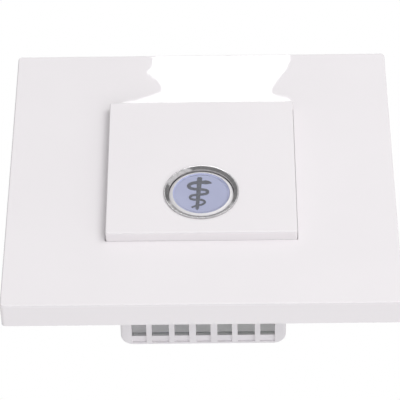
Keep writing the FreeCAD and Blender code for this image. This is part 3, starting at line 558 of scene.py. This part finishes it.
def moulded_white(name, colour, roughness):
    """White cap moulding: smooth, faintly uneven and a little softer than the plate."""
    material, tree = new_material(name, colour, roughness)
    mottle(tree, amount=0.01, lumps_per_mm=0.4)
    drift_roughness(tree, roughness * 0.8, roughness * 1.4, lumps_per_mm=0.8)
    add_bump(tree, noise(tree, lumps_per_mm=3.0), 0.5e-6)
    return material


def satin_plastic(name, colour, roughness):
    """Dull moulding with the fine spark texture of its tool."""
    material, tree = new_material(name, colour, roughness)
    mottle(tree, amount=0.025, lumps_per_mm=0.15)
    drift_roughness(tree, roughness * 0.85, roughness * 1.2, lumps_per_mm=0.6)
    add_bump(tree, noise(tree, lumps_per_mm=6.0, detail=4.0), 7.2e-6)
    add_bump(tree, noise(tree, lumps_per_mm=0.1, detail=1.0), 20e-6)
    return material


def plated_metal(name, colour, roughness):
    """Bright plating over turned metal, with faint rings about the button's axis."""
    material, tree = new_material(name, colour, roughness, 1.0)
    inputs = {"W": distance_from(tree), "Scale": 9.0 / MM, "Detail": 2.0}
    rings = add_node(tree, "TexNoise", inputs, noise_dimensions="1D")["Fac"]
    mottle(tree, amount=0.12, lumps_per_mm=1.6)
    drift_roughness(tree, roughness * 0.7, roughness * 1.5, lumps_per_mm=0.5)
    add_bump(tree, rings, 1.5e-6)
    add_bump(tree, noise(tree, lumps_per_mm=2.0, detail=3.0), 2e-6)
    return material


def drawn_metal(name, colour, roughness):
    """Plain metal with fine lines along Y and slight tarnish."""
    stretch = (1.0, 0.15, 1.0)
    material, tree = new_material(name, colour, roughness, 1.0)
    mottle(tree, amount=0.12, lumps_per_mm=0.6)
    drift_roughness(tree, roughness * 0.7, roughness * 1.4, lumps_per_mm=4.0, Scale=stretch)
    add_bump(tree, noise(tree, lumps_per_mm=9.0, detail=3.0, Scale=stretch), 3e-6)
    return material


def clear_lens():
    """Clear polished plastic in front of the legend."""
    material, tree = new_material("clear_lens", (0.97, 0.975, 1.0), 0.03)
    fill_inputs(tree, shader(tree), {"Transmission Weight": 1.0, "IOR": 1.46})
    drift_roughness(tree, 0.02, 0.05, lumps_per_mm=0.2)
    add_bump(tree, noise(tree, lumps_per_mm=0.15, detail=1.0), 1.5e-6)
    return material


def legend_film(button):
    """Lavender film that drifts slightly between two tints, with painted light that makes it paler at its
    rim.
    """
    rim_light_start, rim_light_lift = 6.15 * MM, 1.35
    material, tree = new_material("legend_film", button.film, 0.5)
    drift = ranged(tree, noise(tree, lumps_per_mm=0.09, detail=1.0), 0.0, 1.0, 0.35, 0.65)
    colour_with(tree, drift, button.film, button.film_tint)
    # Painted light: the film is coloured paler towards its rim.
    rim = ranged(tree, distance_from(tree), 0.0, 1.0, rim_light_start, LEGEND.width / 2)
    repaint(tree, rim, [min(1.0, c * rim_light_lift) for c in button.film])
    add_bump(tree, noise(tree, lumps_per_mm=8.0), 1e-6)
    return material


def legend_ink(button):
    """Grey ink, laid a little unevenly."""
    material, tree = new_material("legend_ink", button.ink, 0.6)
    mottle(tree, amount=0.12, lumps_per_mm=1.2)
    drift_roughness(tree, 0.5, 0.75, lumps_per_mm=2.0)
    add_bump(tree, noise(tree, lumps_per_mm=10.0), 2e-6)
    return material


def board_laminate(name, colour):
    """Solder mask over woven glass, with lighter lines where copper lies under it."""
    material, tree = new_material(name, colour, 0.35)
    inputs = {
        "Vector": own_place(tree, Rotation=(math.pi / 2, 0.0, 0.0)),
        "Scale": 0.4 / MM,
        "Mortar Size": 0.04,
        "Color1": (0.0, 0.0, 0.0, 1.0),
        "Color2": (0.15, 0.15, 0.15, 1.0),
        "Mortar": WHITE,
    }
    tracks = add_node(tree, "TexBrick", inputs)
    lit = [c * 2.0 + 0.02 for c in colour]
    drift = ranged(tree, tracks["Color"], 0.0, 0.8, 0.2, 0.9)
    colour_with(tree, drift, colour, lit)
    drift_roughness(tree, 0.25, 0.45, lumps_per_mm=1.0)
    add_bump(tree, tracks["Fac"], -10e-6)
    add_bump(tree, noise(tree, lumps_per_mm=3.0), 3e-6)
    return material


def point_from(azimuth, elevation, distance):
    """A point seen from the middle of the plate's back, azimuth to the right of straight ahead."""
    level = math.cos(elevation) * distance
    x, y = math.sin(azimuth) * level, -math.cos(azimuth) * level
    return Vector((x, y, math.sin(elevation) * distance))


def aim(name, data, target, outward, roll=0.0):
    """Put a camera or a lamp out from a target and turn it to face that."""
    item = bpy.data.objects.new(name, data)
    bpy.context.scene.collection.objects.link(item)
    item.location = Vector(target) + outward
    facing = (-outward).to_track_quat("-Z", "Y").to_matrix().to_4x4()
    item.rotation_euler = (facing @ Matrix.Rotation(roll, 4, "Z")).to_euler()
    return item


def plain_light(name, brightness):
    """An evenly lit white surface."""
    material = bpy.data.materials.new(name)
    material.use_nodes = True
    tree = material.node_tree
    tree.nodes.clear()
    glow = add_node(tree, "Emission", {"Color": WHITE, "Strength": brightness})
    add_node(tree, "OutputMaterial", {"Surface": glow["Emission"]})
    return material


def seen_or_mirrored(tree):
    """1 for what is seen directly, in a mirror or through glass, and 0 for the light on the object."""
    rays = add_node(tree, "LightPath", {})
    return any_of(tree, [rays[f"Is {kind} Ray"] for kind in ("Camera", "Glossy", "Transmission")])


def card(name, outline, distance, brightness):
    """A studio card that only shows in reflections, its outline given as seen from the plate."""
    mesh = bmesh.new()
    corners = []
    for azimuth, elevation in outline:
        point = point_from(math.radians(azimuth), math.radians(elevation), distance)
        corners.append(mesh.verts.new(point))
    mesh.faces.new(corners)
    item = new_object(name, mesh, plain_light(name, brightness))
    hide_from(item, "camera", "diffuse", "shadow", "transmission")


# The corners of each card, as (azimuth, elevation) in degrees.
BRIGHT_CARD = [
    (6.3, 50.85), (6.2, 50.6), (5.75, 50.1), (5.2, 49.75), (4.8, 49.4), (4.6, 49.15),
    (4.75, 48.95), (5.9, 48.7), (6.1, 48.45), (6.1, 48.24), (-6.9, 48.24), (-6.6, 48.55),
    (-5.7, 48.7), (-4.6, 48.95), (-3.8, 49.2), (-3.8, 49.55), (-4.3, 49.85), (-5.0, 50.15),
    (-4.6, 50.5), (-4.6, 51.1), (-4.6, 51.6), (6.3, 51.6),
]
LEFT_FLAG = [
    (12, -10), (-22, -10), (-55, 12), (-72, 45), (-72, 62), (-30, 62), (-25, 40), (-14, 27), (12, 22),
]
RIGHT_FLAG = [(25, 32), (54, 28), (64, 59), (28, 59)]
CEILING = [(azimuth, 66) for azimuth in range(0, 360, 20)]

# Each card's name, corners, distance from the plate and brightness.
CARDS = (
    ("bright_card", BRIGHT_CARD, 0.5, 7.0),
    ("left_flag", LEFT_FLAG, 0.7, 0.33),
    ("right_flag", RIGHT_FLAG, 0.7, 0.28),
    ("ceiling", CEILING, 0.9, 0.6),
)


class ALARM_OT_stage(bpy.types.Operator):
    """Set up the camera, the lamps, the room's light, the floor and the studio cards"""

    bl_idname = "alarm.stage"
    bl_label = "Stage"

    def execute(self, context):
        stage = context.scene.alarm_stage
        self.place_camera(context, stage)
        self.light_room(context, stage)
        for name in ("key", "low"):
            self.place_lamp(stage, name)
        self.lay_floor(stage)
        for row in CARDS:
            card(*row)
        context.scene.view_settings.view_transform = "Standard"
        return {"FINISHED"}

    def place_camera(self, context, stage):
        data = bpy.data.cameras.new("camera")
        data.lens = stage.lens
        data.sensor_width = 36.0
        data.clip_start = 0.01
        outward = point_from(stage.azimuth, stage.elevation, stage.distance)
        context.scene.camera = aim("camera", data, stage.target, outward, stage.roll)

    def light_room(self, context, stage):
        """White where it is seen or mirrored, and softer where it lights the object."""
        world = bpy.data.worlds.new("room")
        world.use_nodes = True
        tree = world.node_tree
        level = ranged(tree, seen_or_mirrored(tree), stage.fill, 1.0, 0.0, 1.0)
        fill_inputs(tree, tree.nodes["Background"], {"Color": WHITE, "Strength": level})
        context.scene.world = world

    def place_lamp(self, stage, name):
        """Place the lamp whose settings start with a name, unseen and unmirrored."""
        words = ("azimuth", "elevation", "distance", "size", "power")
        azimuth, elevation, distance, size, power = (getattr(stage, f"{name}_{word}") for word in words)
        data = bpy.data.lights.new(f"{name}_lamp", "AREA")
        data.shape = "DISK"
        data.size = size
        data.energy = power
        lamp = aim(f"{name}_lamp", data, (0.0, 0.0, 0.0), point_from(azimuth, elevation, distance))
        hide_from(lamp, "camera", "glossy")

    def lay_floor(self, stage):
        reach, z = 4.0, -stage.floor_drop
        mesh = bmesh.new()
        corners = ((-reach, -reach, z), (reach, -reach, z), (reach, reach, z), (-reach, reach, z))
        mesh.faces.new([mesh.verts.new(corner) for corner in corners])
        material, tree = new_material("floor", (0.86, 0.86, 0.87), 0.9)
        mottle(tree, amount=0.01, lumps_per_mm=0.01)
        lift = ranged(tree, seen_or_mirrored(tree), 0.0, stage.floor_lift, 0.0, 1.0)
        fill_inputs(tree, shader(tree), {"Emission Color": WHITE, "Emission Strength": lift})
        new_object("floor", mesh, material)


class ALARM_OT_front_plate(bpy.types.Operator):
    """Build the wall plate with its rounded edges, window, collar and catches"""

    bl_idname = "alarm.front_plate"
    bl_label = "Front plate"

    def execute(self, context):
        plate = context.scene.alarm_plate
        outer = (PLATE.width / 2, PLATE.height / 2)
        window = (COVER.width / 2 + plate.side_gap, COVER.height / 2 + plate.level_gap)
        ceiling = PLATE.front + plate.front_wall
        collar_back = FRAME.front - plate.collar_gap
        wall, side = plate.collar_wall, plate.side_wall
        corner, rim, inner = plate.corner_radius, 0.15 * MM, 0.35 * MM
        sections = [(outer, rim, corner - rim, PLATE.back), (outer, 0.0, corner, PLATE.back - rim)]
        for inset, depth in quarter_round(plate.edge_radius):
            sections.append((outer, inset, corner - inset, PLATE.front + depth))
        for depth, grow in quarter_round(plate.window_radius):
            sections.append((window, -grow, inner + grow, PLATE.front + depth))
        sections += [
            (window, 0.0, inner, collar_back),
            (window, -wall, inner + wall, collar_back),
            (window, -wall, inner + wall, ceiling),
            (outer, side, inner, ceiling),
            (outer, side, inner, PLATE.back - rim),
            (outer, side - rim, inner + rim, PLATE.back),
        ]
        mesh = bmesh.new()
        loft(mesh, [rounded_rectangle(*section) for section in sections])
        for x in (-plate.catch_x, plate.catch_x):
            for level in (-1, 1):
                self.add_catch(mesh, plate, x, level, ceiling)
        material = gloss_plastic("plate_plastic", PLATE.front, plate)
        piece("wall_plate", mesh, material, "root", "front_plate")
        return {"FINISHED"}

    def add_catch(self, mesh, plate, x, level, ceiling):
        """A springy arm with a sloping barb that snaps behind the mounting frame."""
        wall_gap, lead_in = 0.05 * MM, 0.3 * MM
        tip = PLATE.back - wall_gap
        ledge = tip - plate.catch_barb_depth
        half = plate.catch_thickness / 2
        barb = half + plate.catch_barb
        outline = [
            (ceiling, -half),
            (ceiling, half),
            (ledge, half),
            (ledge, barb),
            (tip - lead_in, barb),
            (tip, barb - 2 * lead_in),
            (tip, lead_in - half),
            (tip - lead_in, -half),
        ]
        ends = []
        for side in (x - plate.catch_width / 2, x + plate.catch_width / 2):
            ends.append([(side, y, level * (plate.catch_z + z)) for y, z in outline])
        capped_loft(mesh, ends)


class ALARM_OT_module_cover(bpy.types.Operator):
    """Build the module's cover with the hole and boss for the bezel and the boards' posts"""

    bl_idname = "alarm.module_cover"
    bl_label = "Module cover"

    def execute(self, context):
        cover = context.scene.alarm_cover
        outer = (COVER.width / 2, COVER.height / 2)
        ceiling, back = COVER.front + cover.front_wall, FRAME.front
        corner, rim, inner = cover.corner_radius, 0.1 * MM, 0.4 * MM
        side_steps = 24

        def frame_loop(inset, radius, y):
            return rounded_rectangle(outer, inset, radius, y, side_steps)

        loops = [frame_loop(rim, corner - rim, back), frame_loop(0.0, corner, back - rim)]
        for inset, depth in quarter_round(cover.edge_radius):
            loops.append(frame_loop(inset, corner - inset, COVER.front + depth))
        hole, boss = cover.hole_radius, cover.hole_radius + cover.boss_wall
        for radius, y in ((hole, COVER.front), (hole, BEZEL.back), (boss, BEZEL.back), (boss, ceiling)):
            loops.append(circle(radius, y, len(loops[0])))
        loops += [
            frame_loop(cover.side_wall, inner, ceiling),
            frame_loop(cover.side_wall, inner, back - rim),
            frame_loop(cover.side_wall - rim, inner + rim, back),
        ]
        mesh = bmesh.new()
        loft(mesh, loops)
        self.add_posts(mesh, cover, ceiling)
        material = gloss_plastic("cover_plastic", COVER.front, cover)
        piece("module_face", mesh, material, "root", "module_cover")
        return {"FINISHED"}

    def add_posts(self, mesh, cover, ceiling):
        """Four posts from the cover's inside to the front board, each with a hole for its screw."""
        steps, rounding = 48, 0.2 * MM
        board = BUTTON_BOARD.front
        hole_end = board - cover.pilot_depth
        post = [
            (ceiling, 0.0, 0),
            (ceiling, cover.post_radius, 0),
            (board, cover.post_radius, 1.0),
            (board, cover.pilot_radius, 1.0),
            (hole_end, cover.pilot_radius, 0),
            (hole_end, 0.0, 0),
        ]
        for x, z in board_posts():
            lathe(mesh, softened(post, rounding), steps, x, z)


class ALARM_OT_bezel(bpy.types.Operator):
    """Turn the plated bezel round the button"""

    bl_idname = "alarm.bezel"
    bl_label = "Bezel"

    def execute(self, context):
        button = context.scene.alarm_button
        lip = BEZEL.width / 2 - button.lip_trim
        barrel = button.bore_radius + button.barrel_wall
        lip_back = BEZEL.front + button.lip_rise
        profile = [
            (lip_back, barrel, 0),
            (lip_back, lip, 0.3),
            (BEZEL.front, lip, 1.4),
            (BEZEL.front, lip - button.lip_land, 0.8),
            (BEZEL.front + button.cone_depth, button.bore_radius, 1.0),
            (BEZEL.back, button.bore_radius, 0.5),
            (BEZEL.back, barrel, 0.5),
        ]
        material = plated_metal("bezel_metal", button.metal, 0.12)
        mesh = turned(profile, button.lip_rounding)
        piece("bezel_ring", mesh, material, "root", "button_bezel")
        return {"FINISHED"}


class ALARM_OT_button(bpy.types.Operator):
    """Turn the white cap and its clear lens, and finish the legend and the symbol behind it"""

    bl_idname = "alarm.button"
    bl_label = "Button"

    def execute(self, context):
        button = context.scene.alarm_button
        self.turn_cap(button)
        self.turn_lens(button)
        finish_node("legend_disc", legend_film(button))
        finish_node("legend_symbol", legend_ink(button))
        return {"FINISHED"}

    def turn_cap(self, button):
        """The cap, with a recess for the legend in front and a post for the switch behind."""
        rounding = 0.12 * MM
        cap_radius = button.bore_radius - button.cap_gap
        flat = LENS.width / 2 + button.lens_fit
        inner = cap_radius - button.cap_wall
        flange_back = BEZEL.back + button.flange_depth
        floor_back = LEGEND.back + button.cap_floor
        profile = [
            (LEGEND.back, 0.0, 0),
            (LEGEND.back, flat, 0),
            (CARRIER.front, flat, 0.4),
            (CARRIER.front + button.bevel_depth, cap_radius, 1.0),
            (BEZEL.back, cap_radius, 0.5),
            (BEZEL.back, CARRIER.width / 2, 1.0),
            (flange_back, CARRIER.width / 2, 1.0),
            (flange_back, inner, 1.0),
            (floor_back, inner, 1.0),
            (floor_back, button.stem_radius, 1.0),
            (CARRIER.back, button.stem_radius, 1.0),
            (CARRIER.back, 0.0, 0),
        ]
        cap = moulded_white("carrier_plastic", button.cap, 0.16)
        mesh = turned(profile, rounding)
        piece("button_cap", mesh, cap, "button", "button_carrier")

    def turn_lens(self, button):
        """The lens, with a shallow recess for the print in its back."""
        rounding = 0.05 * MM
        radius = LENS.width / 2
        print_radius = radius - button.print_margin
        print_front = LENS.back - button.print_depth
        profile = [
            (LENS.front, 0.0, 0),
            (LENS.front, radius, 1.0),
            (LENS.back, radius, 0),
            (LENS.back, print_radius, 0),
            (print_front, print_radius, 0),
            (print_front, 0.0, 0),
        ]
        mesh = turned(profile, rounding)
        lens = piece("lens", mesh, clear_lens(), "button", "button_lens")
        hide_from(lens, "diffuse", "shadow")


class ALARM_OT_return_spring(bpy.types.Operator):
    """Wind the return spring, its coils drawn together at both ends"""

    bl_idname = "alarm.return_spring"
    bl_label = "Return spring"

    def execute(self, context):
        spring = context.scene.alarm_spring
        wire = spring.wire_radius
        radius = SPRING.width / 2 - wire
        start, end = SPRING.front + wire, SPRING.back - wire
        turn_steps, wire_steps = 36, 10
        count = spring.turns * turn_steps
        loops = []
        for i in range(count + 1):
            along = i / count
            angle = TAU * spring.turns * along
            y = start + (end - start) * along * along * (3 - 2 * along)
            outward = Vector((math.cos(angle), 0.0, math.sin(angle)))
            middle = Vector((0.0, y, BUTTON_Z)) + outward * radius
            loop = []
            for k in range(wire_steps):
                turned_by = TAU * k / wire_steps
                offset = outward * math.cos(turned_by) + Vector((0.0, math.sin(turned_by), 0.0))
                loop.append(middle + offset * wire)
            loops.append(loop)
        mesh = bmesh.new()
        capped_loft(mesh, loops)
        material = drawn_metal("spring_steel", (0.6, 0.6, 0.6), 0.3)
        item = piece("spring_coil", mesh, material, "root", "return_spring")
        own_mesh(item)
        return {"FINISHED"}


class ALARM_OT_housing(bpy.types.Operator):
    """Finish the mounting frame and the module's housing"""

    bl_idname = "alarm.housing"
    bl_label = "Housing"

    def execute(self, context):
        finish_node("mounting_frame", satin_plastic("frame_plastic", (0.78, 0.78, 0.77), 0.5))
        material = satin_plastic("housing_plastic", (0.76, 0.735, 0.76), 0.4)
        self.paint_light_inside(material.node_tree)
        self.paint_shade_in_windows(material.node_tree)
        finish_node("module_housing", material)
        return {"FINISHED"}

    def paint_light_inside(self, tree):
        """Paint light on the walls inside, where their colour is paler, and let light through them there.
        """
        latch, half_wall = 1.2 * MM, HOUSING_WALL / 2
        not_back = outside(tree, above(tree, "Y", HOUSING.back - half_wall))
        inside = both(tree, within(tree, HOUSING, latch + half_wall, half_wall), not_back)
        # Painted light: the inside of the walls is coloured paler than the outside.
        repaint(tree, inside, (0.97, 0.94, 0.97))
        inputs = {"Subsurface Weight": inside, "Subsurface Radius": (1.0, 0.95, 1.0)}
        fill_inputs(tree, shader(tree), {**inputs, "Subsurface Scale": 0.01})

    def paint_shade_in_windows(self, tree):
        """Paint shade on the windows' cut edges that face forward, behind a pale outer rim."""
        pale_rim, reach = 0.6 * MM, 9.6 * MM
        forward = outside(tree, above(tree, "Y", -0.5, 0.1, "Normal"))
        near_back = both(tree, forward, above(tree, "Y", HOUSING.back - reach))
        level = between(tree, "Z", HOUSING.bottom + pale_rim, HOUSING.top - pale_rim)
        hollow = between(tree, "Z", HOUSING.bottom + HOUSING_WALL, HOUSING.top - HOUSING_WALL)
        cut = both(tree, near_back, calculated(tree, "SUBTRACT", level, hollow))
        # Painted shade: the cut edges in the windows are coloured dark grey.
        repaint(tree, cut, (0.45, 0.445, 0.45))


class ALARM_OT_electronics(bpy.types.Operator):
    """Finish the switch, the boards and what is on them"""

    bl_idname = "alarm.electronics"
    bl_label = "Electronics"

    def execute(self, context):
        terminal_head = 1.6 * MM
        laminate = self.laminate_with_pads()
        lamp, resistor = self.lamp(), self.resistor()
        black = satin_plastic("connector_plastic", CHIP_BLACK, 0.45)
        terminal_front = Box("terminal_screws").back - terminal_head
        finishes = {
            "switch_body": satin_plastic("switch_plastic", (0.02, 0.02, 0.022), 0.5),
            "switch_top_plate": drawn_metal("tinned_metal", TIN, 0.35),
            "switch_stem": satin_plastic("switch_stem_plastic", (0.55, 0.08, 0.05), 0.4),
            "button_board": laminate,
            "interface_board": laminate,
            "controller_chip": self.chip(),
            "header_socket": black,
            "header_strip": black,
            "header_pins": drawn_metal("pin_brass", (0.75, 0.56, 0.25), 0.25),
            "board_spacers": drawn_metal("spacer_brass", (0.72, 0.55, 0.27), 0.3),
            "board_screws": self.threaded("screw_steel", Box("interface_board").back),
            "call_relay": self.relay(),
            "smoothing_capacitor": self.capacitor(),
            "surge_diode": self.diode(),
            "terminal_block": satin_plastic("terminal_plastic", (0.05, 0.22, 0.09), 0.4),
            "terminal_clamps": drawn_metal("clamp_brass", (0.7, 0.55, 0.3), 0.3),
            "terminal_screws": self.threaded("terminal_steel", terminal_front),
        }
        for i in range(1, 5):
            finishes[f"led_{i}"] = lamp
            finishes[f"led_resistor_{i}"] = resistor
        for node, material in finishes.items():
            finish_node(node, material)
        return {"FINISHED"}

    def laminate_with_pads(self):
        """Green laminate with bare copper round the posts and the plug's pins."""
        post_pad, pin_pad, pin_count = 2.6 * MM, 0.8 * MM, 5
        material = board_laminate("board_laminate", (0.03, 0.16, 0.07))
        tree, pins = material.node_tree, Box("header_pins")
        pads = [disc(tree, x, z, post_pad) for x, z in board_posts()]
        for i in range(pin_count):
            z = pins.bottom + pins.width / 2 + (pins.height - pins.width) * i / (pin_count - 1)
            pads.append(disc(tree, pins.middle.x, z, pin_pad))
        plate_with(tree, any_of(tree, pads), (0.75, 0.62, 0.35))
        return material

    def lamp(self):
        """White package with a yellow dome."""
        dome_rise = 0.36 * MM
        material = satin_plastic("led_plastic", (0.88, 0.88, 0.8), 0.25)
        tree = material.node_tree
        package = above(tree, "Y", Box("led_1").front + dome_rise)
        repaint(tree, outside(tree, package), (0.9, 0.68, 0.12))
        return material

    def tinned(self, name, colour, roughness, axis, low, high):
        """Dull moulding that is tinned metal beyond two places along an axis."""
        material = satin_plastic(name, colour, roughness)
        tree = material.node_tree
        plate_with(tree, outside(tree, between(tree, axis, low, high)), TIN)
        return material, tree

    def resistor(self):
        """Black glaze with tinned ends."""
        box, cap = Box("led_resistor_1"), 0.4 * MM
        low, high = box.bottom + cap, box.top - cap
        return self.tinned("resistor_ceramic", (0.03, 0.03, 0.035), 0.4, "Z", low, high)[0]

    def chip(self):
        """Black moulding with tinned legs and a dot by its first leg."""
        box, leg = Box("controller_chip"), 0.98 * MM
        dot_in, dot_up, dot_radius = 1.1 * MM, 2.1 * MM, 0.35 * MM
        low, high = box.bottom + leg, box.top - leg
        material, tree = self.tinned("chip_plastic", CHIP_BLACK, 0.5, "Z", low, high)
        dot = disc(tree, box.left + dot_in, box.bottom + dot_up, dot_radius)
        repaint(tree, dot, (0.25, 0.25, 0.25))
        return material

    def diode(self):
        """Black moulding with tinned tabs and a band by one end."""
        box, tab = Box("surge_diode"), 0.49 * MM
        band_start, band_end = 1.0 * MM, 1.7 * MM
        low, high = box.left + tab, box.right - tab
        material, tree = self.tinned("diode_plastic", CHIP_BLACK, 0.5, "X", low, high)
        band = between(tree, "X", box.left + band_start, box.left + band_end)
        repaint(tree, band, (0.6, 0.6, 0.6))
        return material

    def relay(self):
        """Dark blue cover with a pale line printed round its top."""
        line_out, line_in = 0.8 * MM, 1.1 * MM
        material = satin_plastic("relay_plastic", (0.03, 0.05, 0.12), 0.3)
        tree, box = material.node_tree, Box("call_relay")
        frames = [within(tree, box, inset, inset) for inset in (line_out, line_in)]
        line = calculated(tree, "SUBTRACT", *frames)
        line = both(tree, line, above(tree, "Y", box.back - TOP_SKIN))
        repaint(tree, line, (0.7, 0.7, 0.7))
        return material

    def capacitor(self):
        """Dark sleeve with a pale stripe, a rubber foot and a bare top."""
        stripe_in, foot_rise, bare_radius = 2.5 * MM, 1.0 * MM, 2.6 * MM
        material = satin_plastic("capacitor_sleeve", (0.03, 0.03, 0.04), 0.25)
        tree, box = material.node_tree, Box("smoothing_capacitor")
        repaint(tree, above(tree, "X", box.middle.x + stripe_in), (0.55, 0.55, 0.56))
        foot = outside(tree, above(tree, "Y", box.front + foot_rise))
        repaint(tree, foot, (0.02, 0.02, 0.02))
        top = above(tree, "Y", box.back - TOP_SKIN)
        inner = disc(tree, box.middle.x, box.middle.z, bare_radius)
        plate_with(tree, both(tree, top, inner), (0.75, 0.75, 0.76))
        return material

    def threaded(self, name, head_front):
        """Plain steel with a fine thread in front of the head."""
        pitch, depth = 0.45 * MM, 0.08 * MM
        material = drawn_metal(name, (0.55, 0.55, 0.54), 0.3)
        tree = material.node_tree
        turns = calculated(tree, "MULTIPLY", coordinate(tree, "Y"), TAU / pitch)
        shank = outside(tree, above(tree, "Y", head_front))
        add_bump(tree, both(tree, calculated(tree, "SINE", turns), shank), depth)
        return material


OPERATORS = (
    ALARM_OT_stage,
    ALARM_OT_front_plate,
    ALARM_OT_module_cover,
    ALARM_OT_bezel,
    ALARM_OT_button,
    ALARM_OT_return_spring,
    ALARM_OT_housing,
    ALARM_OT_electronics,
)


class ALARM_PT_pieces(bpy.types.Panel):
    """List the pieces and their sizes"""

    bl_idname = "ALARM_PT_pieces"
    bl_label = "Alarm Button"
    bl_space_type = "VIEW_3D"
    bl_region_type = "UI"
    bl_category = "Alarm Button"

    def draw(self, context):
        for operator in OPERATORS:
            self.layout.operator(operator.bl_idname)
        for name, group in SETTINGS.items():
            box = self.layout.box()
            for key in group.__annotations__:
                box.prop(getattr(context.scene, name), key)


CLASSES = (*SETTINGS.values(), *OPERATORS, ALARM_PT_pieces)


def register():
    for kind in CLASSES:
        bpy.utils.register_class(kind)
    for name, group in SETTINGS.items():
        setattr(bpy.types.Scene, name, PointerProperty(type=group))


def unregister():
    for name in SETTINGS:
        delattr(bpy.types.Scene, name)
    for kind in reversed(CLASSES):
        bpy.utils.unregister_class(kind)


def main():
    register()
    for operator in OPERATORS:
        group, action = operator.bl_idname.split(".")
        getattr(getattr(bpy.ops, group), action)()


if __name__ == "__main__":
    main()
